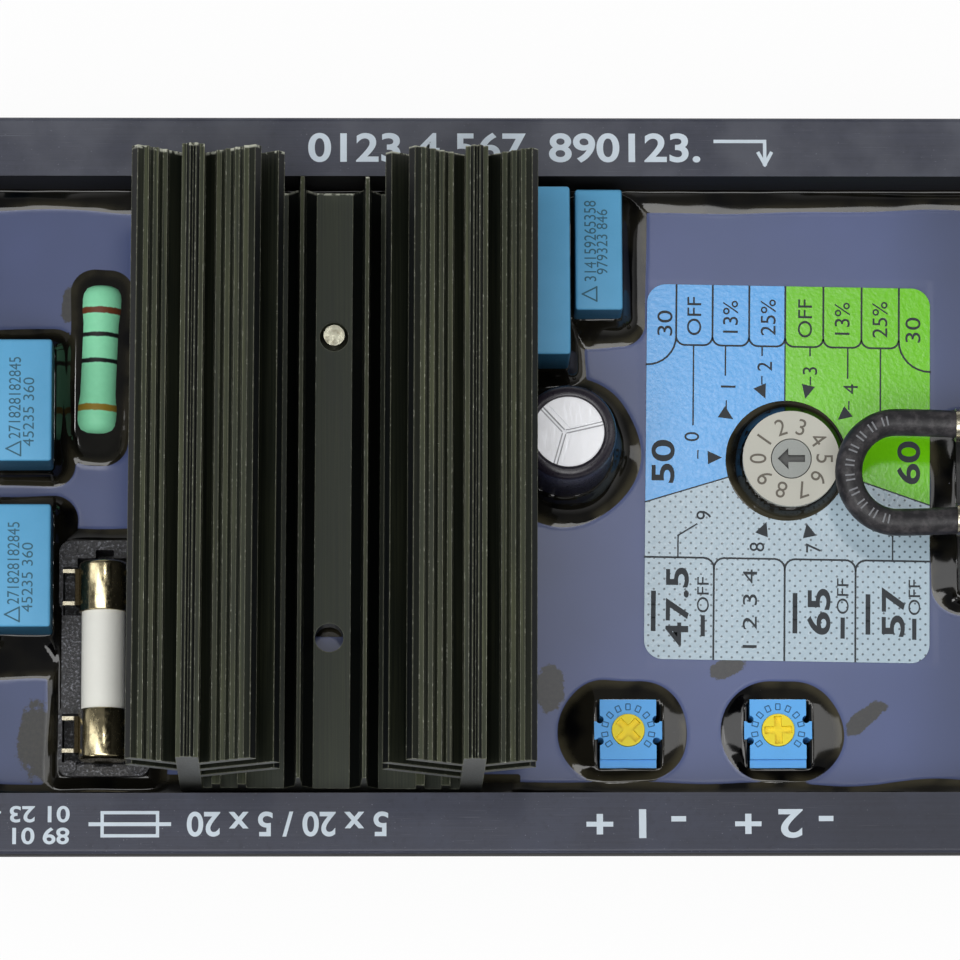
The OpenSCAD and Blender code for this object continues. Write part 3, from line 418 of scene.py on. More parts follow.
def label_film():
    """Blue and green upper fields over a grey field of staggered dots."""
    f = Finish("label_film", Specular_IOR_Level=0.5)
    where = f.place(LABEL_TURN, LABEL_CENTRE)
    x, y, _ = f.axes(where)
    fine = f.noise(where, 3.5, 3.0, 0.7)
    column = f.math("FLOOR", x / (LABEL_DOT_PITCH / 2))
    shift = f.math("FLOORED_MODULO", column, 2.0) * (LABEL_DOT_PITCH / 2)
    cell_x = f.math("FLOORED_MODULO", x, LABEL_DOT_PITCH / 2) - LABEL_DOT_PITCH / 4
    cell_y = f.math("FLOORED_MODULO", y + shift, LABEL_DOT_PITCH) - LABEL_DOT_PITCH / 2
    away = f.math("SQRT", cell_x * cell_x + cell_y * cell_y)
    grey = f.mix(fine, srgb(160, 182, 196), srgb(182, 202, 214))
    grey = f.mix(f.step(away, 0.16, 0.08), grey, srgb(88, 100, 108))
    blue = f.mix(fine, srgb(84, 166, 236), srgb(104, 182, 246))
    green = f.mix(fine, srgb(100, 192, 2), srgb(120, 210, 8))
    left = f.step(x, LABEL_DIVIDE_X + 0.03, LABEL_DIVIDE_X - 0.03)
    over_left = f.step(y - x * BLUE_BORDER[0] - BLUE_BORDER[1], -0.03, 0.03)
    over_right = f.step(y - x * GREEN_BORDER[0] - GREEN_BORDER[1], -0.03, 0.03)
    upper = f.mix(left, f.mix(over_right, grey, green), f.mix(over_left, grey, blue))
    f.set(Base_Color=upper, Roughness=f.step(fine, 0.2, 0.8, 0.18, 0.26))
    return f.bump(f.noise(where, 2.2, 2.0, 0.5), 0.5, 0.03).material


CAN_VENT = (13, 133, 254)


def can_aluminium():
    f = Finish("can_aluminium", Metallic=0.35)
    where = f.place(0.0, tuple((a + b) / 2 for a, b in zip(*box_mm("electrolytic_can"))))
    x, y, _ = f.axes(where)
    x = x + 0.42
    fine = f.noise(f.stretch(where, (3.0, 0.6, 1.0)), 1.5, 4.0, 0.7)
    base = f.mix(fine, srgb(240, 242, 248), srgb(254, 254, 255))
    for degrees in CAN_VENT:
        c, s = math.cos(math.radians(degrees)), math.sin(math.radians(degrees))
        # Painted shade: two dark lines along each vent stand for the shaded walls of a groove that the mesh doesn't
        # have.
        wall = f.step(((x * s - y * c).size() - 0.17).size(), 0.09, 0.04) * f.step(x * c + y * s, 0.1, 0.2)
        base = f.mix(wall * 0.7, base, srgb(90, 90, 98))
    f.set(Base_Color=base, Roughness=f.step(fine, 0.2, 0.8, 0.3, 0.5))
    return f.bump(fine, 0.2, 0.015).material


def rotor_grey():
    """Grey, with painted shade in the arrow's recess."""
    f = Finish("selector_grey", Roughness=0.42)
    where = f.place()
    fine = f.noise(where, 5.0, 3.0, 0.6)
    top = box_mm("selector_rotor")[1][2]
    face = f.mix(fine, srgb(150, 154, 150), srgb(166, 170, 166))
    f.set(Base_Color=f.mix(f.step(f.axes(where)[2], top - 0.12, top - 0.03), srgb(90, 91, 90), face))
    return f.bump(fine, 0.15, 0.02).material


def wire_sleeve():
    f = Finish("wire_sleeve", Specular_IOR_Level=0.4)
    where = f.place()
    fine = f.noise(where, 4.0, 3.0, 0.6)
    scuff = f.step(f.noise(where, 0.9, 4.0, 0.7), 0.4, 0.75)
    f.set(Base_Color=f.mix(scuff, srgb(34, 33, 36), srgb(74, 71, 73)),
          Roughness=f.step(fine, 0.2, 0.8, 0.38, 0.55))
    return f.bump(fine, 0.2, 0.015).material


def floor_paper():
    f = Finish("floor_paper", Roughness=0.9, Specular_IOR_Level=0.1, Base_Color=(0.86, 0.86, 0.86))
    path = "ShaderNodeLightPath"
    seen = f.node(path, {}, [], "Is Camera Ray") + f.node(path, {}, [], "Is Glossy Ray")
    seen = (seen + f.node(path, {}, [], "Is Transmission Ray")).clamp()
    glow = f.node("ShaderNodeEmission", {}, {"Color": (1.0, 1.0, 1.0, 1.0), "Strength": 1.0})
    blend = f.node("ShaderNodeMixShader", {}, [seen * 0.95, Signal(f, f.shader.outputs[0]), glow])
    f.tree.links.new(blend.link, f.tree.nodes["Material Output"].inputs["Surface"])
    return f.material


# Meshes


def piece(name, mesh, material, body=ROOT, replaced=()):
    """Puts a finished mesh in the scene as a piece that rides on a body."""
    made = bpy.data.objects.new(name, mesh)
    scene.collection.objects.link(made)
    mesh.materials.clear()
    mesh.materials.append(material)
    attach(made, body)
    if replaced:
        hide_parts(*replaced)
    return made


def from_bmesh(name, shape, smooth=False):
    mesh = bpy.data.meshes.new(name)
    shape.to_mesh(mesh)
    shape.free()
    if smooth:
        for face in mesh.polygons:
            face.use_smooth = True
    return mesh


def joined(name, meshes):
    """One mesh of several, in the order given."""
    shape = bmesh.new()
    for mesh in meshes:
        shape.from_mesh(mesh)
        bpy.data.meshes.remove(mesh)
    return from_bmesh(name, shape)


def plate(name, points, z, thickness):
    """A thin flat plate with the outline given in millimetres."""
    shape = bmesh.new()
    face = shape.faces.new([shape.verts.new(mm(x, y, z)) for x, y in points])
    face.normal_update()
    if face.normal.z < 0:
        face.normal_flip()
    raised = bmesh.ops.extrude_face_region(shape, geom=[face])
    bmesh.ops.translate(shape, vec=mm(0, 0, thickness),
                        verts=[v for v in raised["geom"] if isinstance(v, bmesh.types.BMVert)])
    bmesh.ops.recalc_face_normals(shape, faces=shape.faces)
    return from_bmesh(name, shape)


def bar(start, end, width, z, thickness):
    """A straight printed line between two points."""
    a, b = Vector(start), Vector(end)
    along = (b - a).normalized() * width / 2
    side = Vector((-along.y, along.x))
    corners = [a - along + side, a - along - side, b + along - side, b + along + side]
    return plate("bar", [tuple(c) for c in corners], z, thickness)


def arc_points(centre, radius, start, end, count=8):
    """Points along an arc, with angles in degrees."""
    turns = [math.radians(start + (end - start) * i / count) for i in range(count + 1)]
    return [(centre[0] + radius * math.cos(t), centre[1] + radius * math.sin(t)) for t in turns]


def line(points, width, z, thickness):
    """A printed line through several points, each part at its own height, so that none share a plane."""
    last = len(points) - 2
    return [bar(a, b, width, z + 0.003 * (i % 2 + 2 * (i == last)), thickness)
            for i, (a, b) in enumerate(zip(points, points[1:]))]


def digits(text, x, y, z, height, thickness, turn=0.0, stretch=1.0, weight=0.0):
    """Flat numerals centred on a point, turned about Z by an angle in degrees."""
    curve = bpy.data.curves.new("digits", "FONT")
    curve.body = text
    curve.align_x = "CENTER"
    curve.align_y = "CENTER"
    curve.size = 1.0
    curve.offset = weight
    curve.extrude = 0.01
    holder = bpy.data.objects.new("digits", curve)
    scene.collection.objects.link(holder)
    bpy.context.view_layer.update()
    ready = holder.evaluated_get(bpy.context.evaluated_depsgraph_get())
    mesh = bpy.data.meshes.new_from_object(ready)
    bpy.data.objects.remove(holder)
    bpy.data.curves.remove(curve)
    co = np.zeros(len(mesh.vertices) * 3)
    mesh.vertices.foreach_get("co", co)
    co = co.reshape(-1, 3)
    low, high = co.min(0), co.max(0)
    middle = (low + high) / 2
    scale = height / (high[1] - low[1])
    deep = thickness / max(high[2] - low[2], 1e-6)
    co = (co - [middle[0], middle[1], low[2]]) * [scale * stretch, scale, deep]
    c, s = math.cos(math.radians(turn)), math.sin(math.radians(turn))
    placed = np.stack([co[:, 0] * c - co[:, 1] * s + x, co[:, 0] * s + co[:, 1] * c + y, co[:, 2] + z], 1)
    mesh.vertices.foreach_set("co", (placed * MM).ravel())
    mesh.update()
    return mesh


def rounded_box(name, low, high, radius, segments=3):
    shape = bmesh.new()
    bmesh.ops.create_cube(shape, size=1.0)
    size = Vector(high) - Vector(low)
    middle = (Vector(high) + Vector(low)) / 2
    bmesh.ops.scale(shape, vec=size * MM, verts=shape.verts)
    bmesh.ops.translate(shape, vec=middle * MM, verts=shape.verts)
    bmesh.ops.bevel(shape, geom=list(shape.edges), offset=radius * MM, segments=segments, profile=0.5,
                    affect="EDGES")
    return from_bmesh(name, shape, smooth=True)


def lathe(name, profile, centre, axis="Z", steps=64, smooth=True):
    """Turns a profile of (radius, height) points about an axis through the centre."""
    shape = bmesh.new()
    rings = []
    for radius, height in profile:
        if radius == 0:
            rings.append([shape.verts.new((0, 0, height * MM))])
            continue
        turns = [2 * math.pi * i / steps for i in range(steps)]
        rings.append([shape.verts.new((radius * math.cos(t) * MM, radius * math.sin(t) * MM, height * MM))
                      for t in turns])
    for lower, upper in zip(rings, rings[1:]):
        for i in range(steps):
            j = (i + 1) % steps
            corners = [lower[i % len(lower)], lower[j % len(lower)], upper[j % len(upper)],
                       upper[i % len(upper)]]
            corners = list(dict.fromkeys(corners))
            if len(corners) > 2:
                shape.faces.new(corners)
    bmesh.ops.recalc_face_normals(shape, faces=shape.faces)
    if axis == "Y":
        bmesh.ops.rotate(shape, cent=(0, 0, 0), matrix=Matrix.Rotation(math.radians(-90), 3, "X"),
                         verts=shape.verts)
    bmesh.ops.translate(shape, vec=mm(*centre), verts=shape.verts)
    return from_bmesh(name, shape, smooth)


def dress(material, *nodes):
    """Gives CAD nodes a finish."""
    for name in nodes:
        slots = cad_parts[name].data.materials
        slots.clear()
        slots.append(material)


# Resin: a flat pool that climbs every part that stands in it

RESIN_STEP = 0.32
# node, how far the bead spreads to the left, right, near and far side, its corner radius and its climb
BEADS = [
    ("rear_film_capacitor", (2.0, 2.3, 1.4, 2.5), 2.4, 2.2),
    ("front_film_capacitor", (2.0, 2.5, 4.4, 2.1), 2.6, 2.2),
    ("tall_film_capacitor", (1.5, 1.9, 2.6, 1.5), 2.0, 2.4),
    ("small_film_capacitor", (1.0, 2.9, 2.6, 2.0), 2.6, 2.4),
    ("fuse_holder", (1.3, 1.8, 2.0, 1.7), 1.6, 1.0),
    ("jumper_header", (2.7, 3.0, 1.9, 1.7), 3.4, 1.4),
    ("transistor_body", (1.4, 1.4, 1.4, 1.4), 1.4, 0.8),
    ("voltage_trimmer_body", (3.9, 2.65, 1.4, 2.15), 5.3, 0.8),
    ("stability_trimmer_body", (2.3, 3.3, 1.4, 2.15), 5.3, 0.8),
    ("electrolytic_sleeve", (3.0, 3.0, 2.8, 3.4), 8.0, 2.6),
    ("selector_dial", (1.9, 1.3, 1.3, 1.9), 6.7, 1.9)]
ROUND_NODES = ("electrolytic_sleeve", "selector_dial")
RESISTOR_BEAD = ((1.1, 1.1, 3.4, 1.7), 2.6, 1.4)
WALL_BEAD = (2.1, 1.5)
# middle, half width, half height and turn in degrees of the dull patches
PATCHES = [(3.4, -20.7, 1.5, 2.8, 0), (22.4, -18.3, 2.2, 1.1, 20), (36.6, -23.6, 2.6, 1.0, 38),
           (-49.6, -26.4, 2.8, 5.0, 8), (-46.7, 20.6, 1.3, 2.4, -20)]
# painted shadow: the resin is painted black in the sink's shade, under its near end and behind its free hole
SHADES = [((-38.6, -40.0), (0.3, -29.6)), ((-24.5, -15.1), (-14.5, 10.0))]


def wander(x, y, seed):
    """A smooth wandering value near 0, from a few waves."""
    rng = np.random.default_rng(seed)
    total = np.zeros_like(x)
    for _ in range(6):
        turn, scale, phase = rng.uniform(0, 2 * math.pi), rng.uniform(0.25, 0.9), rng.uniform(0, 2 * math.pi)
        total += np.sin((x * math.cos(turn) + y * math.sin(turn)) * scale + phase)
    return total / 6


def box_distance(x, y, low, high, turn=0.0, corner=0.0):
    cx, cy = (low[0] + high[0]) / 2, (low[1] + high[1]) / 2
    dx, dy = x - cx, y - cy
    c, s = math.cos(turn), math.sin(turn)
    u, v = np.abs(dx * c + dy * s), np.abs(-dx * s + dy * c)
    u, v = u - (high[0] - low[0]) / 2 + corner, v - (high[1] - low[1]) / 2 + corner
    return np.hypot(np.maximum(u, 0), np.maximum(v, 0)) + np.minimum(np.maximum(u, v), 0) - corner


def bead(x, y, low, high, spread, corner, seed, turn=0.0, round_part=False):
    """1 at a part's foot, falling to 0 at the bead's own rounded outline."""
    left, right, near, far = spread
    outer = box_distance(x, y, (low[0] - left, low[1] - near), (high[0] + right, high[1] + far), turn, corner)
    outer = outer + 0.3 * wander(x, y, seed)
    if round_part:
        inner = np.hypot(x - (low[0] + high[0]) / 2, y - (low[1] + high[1]) / 2) - (high[0] - low[0]) / 2
    else:
        inner = box_distance(x, y, low, high, turn, 0.3)
    inside = np.maximum(-outer, 0)
    return np.where(outer < 0, inside / (inside + np.maximum(inner, 0) + 1e-6), 0), inner, outer


def climb_curve(t, climb, width):
    """The bead's height: a steep start at its outline, then steeper still at the part."""
    start = np.minimum(0.45 * width, climb)
    return start * t + (climb - start) * t ** 3


def resin_pool():
    low, high = box_mm("potting_resin")
    columns = int((high[0] - low[0]) / RESIN_STEP)
    rows = int((high[1] - low[1]) / RESIN_STEP)
    xs = np.linspace(low[0], high[0], columns + 1)
    ys = np.linspace(low[1], high[1], rows + 1)
    x, y = np.meshgrid(xs, ys)
    rise = np.zeros_like(x)
    edge = np.full(x.shape, 9.0)
    pits = np.zeros(x.shape, bool)
    for i, (node, spread, corner, climb) in enumerate(BEADS):
        a, b = box_mm(node)
        t, inner, outer = bead(x, y, a, b, spread, corner, i, round_part=node in ROUND_NODES)
        rise = np.maximum(rise, climb_curve(t, climb, np.maximum(inner, 0) - np.minimum(outer, 0)))
        edge = np.minimum(edge, outer)
        pits |= inner < -0.35
    cx, cy, _ = RESISTOR_CENTRE
    spread, corner, dip = RESISTOR_BEAD
    t, inner, outer = bead(x, y, (cx - 2.2, cy - 7.95), (cx + 2.2, cy + 7.95), spread, corner, 31, RESISTOR_TURN)
    sunk = np.clip((0.95 - inner) / 0.9, 0, 1)
    lip = np.clip((cy - 3.0 - y) / 4.0, 0, 1) * np.exp(-((outer + 0.45) / 0.4) ** 2)
    rise += 0.3 * lip - dip * sunk * sunk * (3 - 2 * sunk)
    edge = np.minimum(edge, outer)
    wall = np.minimum(x - low[0], high[0] - x)
    side = np.minimum(y - low[1], high[1] - y)
    for k, d in enumerate((wall, side)):
        width = WALL_BEAD[0] * (1 + 0.3 * wander(x * 0.5, y * 0.5, 40 + k))
        rise = np.maximum(rise, climb_curve(np.clip(1 - d / width, 0, 1), WALL_BEAD[1], width))
        edge = np.minimum(edge, d - width)
    ripple = 1 + 0.12 * wander(x * 1.7, y * 1.7, 50)
    z = high[2] + rise * ripple + 0.02 * wander(x * 0.3, y * 0.3, 51)
    z[pits] = high[2] - 3.0
    patch = np.full(x.shape, -1.0)
    for px, py, hw, hh, turn in PATCHES:
        c, s = math.cos(math.radians(turn)), math.sin(math.radians(turn))
        u, v = ((x - px) * c + (y - py) * s) / hw, (-(x - px) * s + (y - py) * c) / hh
        patch = np.maximum(patch, 1.0 - np.hypot(u, v) - 0.35 * wander(x * 1.5, y * 1.5, 60))
    # The SHADES boxes join the edge field, so cast_resin paints them near black as painted shadow.
    for a, b in SHADES:
        edge = np.minimum(edge, box_distance(x, y, a, b, 0.0, 0.2))
    label_low, label_high = box_mm("setting_label")
    under = box_distance(x, y, label_low, label_high)
    z = np.where((under < 0.2) & (edge > 0), np.minimum(z, high[2] - 0.01), z)
    count = x.size
    top = np.stack([x.ravel(), y.ravel(), z.ravel()], 1)
    index = np.arange(count).reshape(x.shape)
    faces = np.stack([index[:-1, :-1], index[:-1, 1:], index[1:, 1:], index[1:, :-1]], -1).reshape(-1, 4)
    rim = np.concatenate([index[0, :-1], index[:-1, -1], index[-1, :0:-1], index[:0:-1, 0]])
    foot = top[rim].copy()
    foot[:, 2] = low[2]
    walls = [(int(rim[(i + 1) % len(rim)]), int(rim[i]), count + i, count + (i + 1) % len(rim))
             for i in range(len(rim))]
    floor = tuple(range(count + len(rim) - 1, count - 1, -1))
    mesh = bpy.data.meshes.new("resin_pool")
    mesh.from_pydata(np.concatenate([top, foot]) * MM, [], faces.tolist() + walls + [floor])
    for name, values in (("edge", np.clip(edge, -1, 1)), ("patch", patch)):
        layer = mesh.attributes.new(name, "FLOAT", "POINT")
        layer.data.foreach_set("value", np.concatenate([values.ravel(), np.zeros(len(rim))]).astype(np.float32))
    smooth = np.zeros(len(mesh.polygons), bool)
    smooth[:len(faces)] = True
    mesh.polygons.foreach_set("use_smooth", smooth)
    return piece("resin_pool", mesh, cast_resin(), replaced=["potting_resin"])


# Moulded and turned parts that replace their plain solids


def film_capacitors(blue, print_ink):
    marks = []
    for node in ("rear_film_capacitor", "front_film_capacitor", "tall_film_capacitor", "small_film_capacitor"):
        low, high = box_mm(node)
        shell = rounded_box(node + "_box", low, high, 0.35)
        piece(node + "_box", shell, blue, replaced=[node])
        if node == "tall_film_capacitor":
            continue
        middle = [(a + b) / 2 for a, b in zip(low, high)]
        small = node == "small_film_capacitor"
        rows = [("314159265358", -0.9, 0.9, 1.25, 0.82), ("979323 846", 0.35, 0.8, 1.15, 0.9)]
        if not small:
            rows = [("271828182845", -0.9, 0.2, 1.25, 0.82), ("45235 360", 0.55, -1.3, 1.15, 1.05)]
        for text, shift, along, height, stretch in rows:
            marks.append(digits(text, middle[0] + shift, middle[1] + along, high[2], height, 0.012, 90, stretch))
        tip = (middle[0] + rows[0][1] - 0.85, low[1] + 1.3 + 0.4 * small)
        corners = [tip, (tip[0] + 1.5, tip[1] - 0.75), (tip[0] + 1.5, tip[1] + 0.75), tip]
        marks += line(corners, 0.16, high[2], 0.012)
    piece("capacitor_print", joined("capacitor_print", marks), print_ink)


def electrolytic(sleeve):
    low, high = box_mm("electrolytic_sleeve")
    r = (high[0] - low[0]) / 2
    lip = 0.74 * r
    top = high[2] - low[2]
    round_r = 0.9
    crown = [(r - round_r + round_r * math.cos(a), top - round_r + round_r * math.sin(a))
             for a in [math.radians(t) for t in range(0, 91, 15)]]
    profile = [(r - 0.25, 0), (r, 0), (r, 1.3), (r - 0.35, 1.8), (r, 2.4)] + crown
    profile += [(lip + 0.1, top), (lip, top - 0.12), (lip, top - 0.35), (r - 0.25, top - 0.35), (r - 0.25, 0)]
    centre = ((low[0] + high[0]) / 2, (low[1] + high[1]) / 2, low[2])
    piece("shrunk_sleeve", lathe("shrunk_sleeve", profile, centre), sleeve,
          replaced=["electrolytic_sleeve"])


def fuse(cap_metal):
    for node, side in (("rear_fuse_cap", 1), ("front_fuse_cap", -1)):
        low, high = box_mm(node)
        r = (high[0] - low[0]) / 2
        length = high[1] - low[1]
        edge = 0.45
        rim = [(r - edge + edge * math.cos(a), length - edge + edge * math.sin(a))
               for a in [math.radians(t) for t in range(0, 91, 15)]]
        profile = [(r - 0.3, 0.0), (r - 0.06, 0.0), (r, 0.12)] + rim + [(0, length)]
        inner = [(0, length - 0.3), (r - 0.3, length - 0.3), (r - 0.3, 0.0)]
        centre = ((low[0] + high[0]) / 2, low[1] if side > 0 else high[1], (low[2] + high[2]) / 2)
        mesh = lathe(node + "_cup", [(a, side * b) for a, b in profile + inner], centre, "Y", 48)
        piece(node + "_cup", mesh, cap_metal, replaced=[node])


def resistor(lacquer):
    half = [(2.15, 0.0), (2.16, 3.8), (2.23, 4.6), (2.32, 5.2), (2.32, 6.5), (2.24, 7.05), (1.98, 7.6),
            (1.45, 7.92), (0.7, 8.04), (0, 8.05)]
    profile = [(r, -y) for r, y in half[:0:-1]] + half
    mesh = lathe("lacquered_body", profile, (0, 0, 0), "Y", 48)
    mesh.transform(Matrix.Translation(mm(*RESISTOR_CENTRE)) @ Matrix.Rotation(RESISTOR_TURN, 4, "Z"))
    piece("lacquered_body", mesh, lacquer, replaced=["resistor_body"])


WIRE_RADIUS = 1.42
WIRE_BULGE = 0.3


def jumper(sleeve, print_ink):
    """The wire as one round tube: a loop that is a little wider than its two ends, and its row of marks."""
    low, high = box_mm("jumper_wire")
    centre_y = (low[1] + high[1]) / 2
    z = (low[2] + high[2]) / 2
    ends = (high[1] - low[1]) / 2 - (high[2] - low[2]) / 2
    centre_x = low[0] + ends + WIRE_RADIUS
    loop = ends + WIRE_BULGE
    run = high[0] - centre_x
    path = []
    for i in range(8, 0, -1):
        share = i / 8
        path.append((centre_x + run * share, centre_y + loop - WIRE_BULGE * share * share * (3 - 2 * share)))
    turns = [math.radians(90 + 180 * i / 32) for i in range(33)]
    bend = [(centre_x + ends * math.cos(t), centre_y + loop * math.sin(t)) for t in turns]
    path = path + bend + [(x, 2 * centre_y - y) for x, y in reversed(path)]
    shape = bmesh.new()
    rings = []
    steps = 24
    marks = []
    for i, (x, y) in enumerate(path):
        before, after = path[max(i - 1, 0)], path[min(i + 1, len(path) - 1)]
        along = Vector((after[0] - before[0], after[1] - before[1])).normalized()
        side = Vector((-along.y, along.x))
        ring = []
        for k in range(steps):
            t = 2 * math.pi * k / steps
            out = WIRE_RADIUS * math.cos(t)
            ring.append(shape.verts.new(mm(x + side.x * out, y + side.y * out, z + WIRE_RADIUS * math.sin(t))))
        rings.append(ring)
        if 9 < i < len(path) - 10 and i % 3:
            a = Vector((x, y)) - side * 0.4
            marks.append(bar(a, a + side * 0.8, 0.17, z + WIRE_RADIUS - 0.08, 0.085))
    for a, b in zip(rings, rings[1:]):
        for k in range(steps):
            shape.faces.new([a[k], a[(k + 1) % steps], b[(k + 1) % steps], b[k]])
    shape.faces.new(rings[0])
    shape.faces.new(rings[-1])
    bmesh.ops.recalc_face_normals(shape, faces=shape.faces)
    piece("wire_loop", from_bmesh("wire_loop", shape, True), sleeve, replaced=["jumper_wire"])
    piece("wire_marks", joined("wire_marks", marks), print_ink)


# Print

INK = 0.03


def rim_print(ink):
    """Numerals, a bent arrow and a fuse sign on the two flanges."""
    z = box_mm("channel_housing")[1][2]
    marks = [digits("0123 4 567. 890123.", -1.3, 35.7, z, 3.2, INK, 0, 1.18, 0.02)]
    marks += line([(20.9, 36.4), (26.1, 36.4), (26.1, 34.2)], 0.36, z, INK)
    marks += line([(25.45, 35.1), (26.1, 33.9), (26.75, 35.1)], 0.36, z + 0.012, INK)
    marks += line([(-44.3, -35.9), (-36.2, -35.9)], 0.4, z + 0.012, INK)
    marks += line([(-43.1, -34.7), (-43.1, -37.1), (-37.4, -37.1), (-37.4, -34.7), (-43.1, -34.7)], 0.34, z, INK)
    marks.append(digits("5 x 20 / 5 x 20", -24.0, -35.9, z, 2.6, INK, 180, 1.0, 0.02))
    marks.append(digits("- 1 +", 12.0, -35.9, z, 3.0, INK, 180, 1.3, 0.02))
    marks.append(digits("- 2 +", 27.3, -35.9, z, 3.0, INK, 180, 1.3, 0.02))
    marks.append(digits("01 23 45 67", -53.2, -34.85, z, 1.75, INK, 180, 1.2, 0.02))
    marks.append(digits("89 01 23 45", -53.2, -37.1, z, 1.75, INK, 180, 1.2, 0.02))
    piece("rim_print", joined("rim_print", marks), ink)


def dial_numbers(ink):
    """Numerals round the selector, clockwise from the left."""
    low, high = box_mm("selector_dial")
    cx, cy = (low[0] + high[0]) / 2, (low[1] + high[1]) / 2
    marks = []
    for n in range(10):
        turn = 180 - 36 * n
        x, y = cx + 3.5 * math.cos(math.radians(turn)), cy + 3.5 * math.sin(math.radians(turn))
        marks.append(digits(str(n), x, y, high[2], 1.75, 0.02, turn - 90, 0.95))
    piece("dial_numbers", joined("dial_numbers", marks), ink)


def label_print(ink):
    """Cell borders, leader lines, numerals and pointers, laid out from the label's middle."""
    z = box_mm("setting_label")[1][2] - LABEL_CENTRE[2]
    t = 0.012
    left, right, top, bottom = -15.0, 15.0, 20.0, -20.0
    marks = []

    def draw(points, width=0.2):
        marks.extend(line(points, width, z, t))

    cells = [-11.9, -8.05, -4.17, -0.35, 3.69, 7.74, 11.7]
    for x in cells:
        draw([(x, top), (x, 14.3)])
    for a, b in zip(cells, cells[1:]):
        draw(arc_points((a + 0.95, 14.52), 0.95, 190, 270, 6) + arc_points((b - 0.95, 14.52), 0.95, 270, 350, 6))
    draw(arc_points((left, 14.5), 3.1, 0, -90, 8))
    draw(arc_points((right, 14.4), 3.3, 180, 270, 8))
    for x, y in ((-10.04, 5.0), (-6.66, 10.4), (-2.78, 12.6), (2.3, 12.65), (6.3, 10.3), (9.76, 6.36)):
        draw([(x, 13.57), (x, y)], 0.16)
    draw([(LABEL_DIVIDE_X, 14.0), (LABEL_DIVIDE_X, 7.7)], 0.14)
    for x, y in ((-6.54, 7.2), (-2.79, 9.9), (2.35, 9.9), (6.43, 7.35), (-9.5, 1.8)):
        draw([(x, y + 0.4), (x, y - 0.4)], 0.14)
    for slope, height, a, b in ((*BLUE_BORDER, left, -5.8), (*GREEN_BORDER, 7.0, right)):
        draw([(a, a * slope + height), (b, b * slope + height)], 0.14)
    lower = [left, -7.72, -0.26, 7.2, right]
    for x in lower[1:-1]:
        draw([(x, bottom), (x, -10.4)])
    for i, (a, b) in enumerate(zip(lower, lower[1:])):
        start = [(a, -9.25)] if i == 0 else arc_points((a + 1.1, -10.35), 1.1, 180, 90, 6)
        finish = [(b, -9.25)] if i == 3 else arc_points((b - 1.1, -10.35), 1.1, 90, 0, 6)
        draw(start + finish)
    draw([(-11.52, -9.25), (-11.52, -6.9), (-9.56, -5.66)], 0.16)
    draw([(11.1, -9.25), (11.1, -6.65), (9.9, -5.7)], 0.16)
    for text, x, y in (("0", -10.16, 3.7), ("1", -6.35, 9.15), ("2", -2.5, 11.4), ("3", 2.3, 11.0),
                       ("4", 6.6, 9.1), ("5", 9.7, 4.4), ("9", -8.83, -4.7), ("8", -3.2, -8.0),
                       ("7", 2.75, -8.0)):
        marks.append(digits(text, x, y, z, 1.55, t, 90, 1.0))
    hub = (0.4, 1.73)
    for x, y in ((-6.5, 6.1), (-2.75, 8.7), (2.0, 8.8), (5.9, 6.3), (-7.8, 1.5), (-2.5, -6.1), (2.2, -6.2)):
        to = Vector((hub[0] - x, hub[1] - y)).normalized()
        out = Vector((-to.y, to.x))
        shape = [to * 0.85, out * 0.72 - to * 0.65, out * -0.72 - to * 0.65]
        marks.append(plate("pointer", [(x + v.x, y + v.y) for v in shape], z, t))
    rows = [("50", -13.17, 1.0, 2.45, 1.45), ("60", 12.77, 1.3, 2.45, 1.45), ("OFF", -10.0, 16.7, 1.5, 1.14),
            ("13%", -6.15, 16.7, 1.6, 1.05), ("25%", -2.15, 16.7, 1.6, 1.05), ("OFF", 1.75, 16.65, 1.5, 1.14),
            ("13%", 5.7, 16.7, 1.6, 1.05), ("25%", 9.7, 16.65, 1.6, 1.05), ("30", -13.1, 15.9, 1.6, 1.3),
            ("30", 13.2, 15.6, 1.6, 1.3), ("47.5", -11.55, -14.5, 2.45, 1.5), ("1 2 3 4", -3.9, -14.6, 1.5, 1.5),
            ("65", 3.35, -14.8, 2.45, 1.6), ("57", 11.2, -14.7, 2.45, 1.6), ("OFF", -8.85, -13.2, 1.25, 1.25),
            ("OFF", 5.86, -13.1, 1.25, 1.25), ("OFF", 13.4, -13.1, 1.25, 1.25)]
    for text, x, y, height, stretch in rows:
        bold = 0.02 if height > 2 else 0.0
        marks.append(digits(text, x, y, z, height, t, 90, stretch, bold))
    for x in (-14.06, 0.84, 8.52):
        for y in (-16.4, -15.0, -13.6):
            draw([(x, y - 0.5), (x, y + 0.5)], 0.5)
    for x in (-8.85, 5.86, 13.4):
        draw([(x, -17.4), (x, -15.6)], 0.45)
    mesh = joined("label_print", marks)
    mesh.transform(Matrix.Translation(mm(*LABEL_CENTRE)) @ Matrix.Rotation(LABEL_TURN, 4, "Z"))
    piece("label_print", mesh, ink)


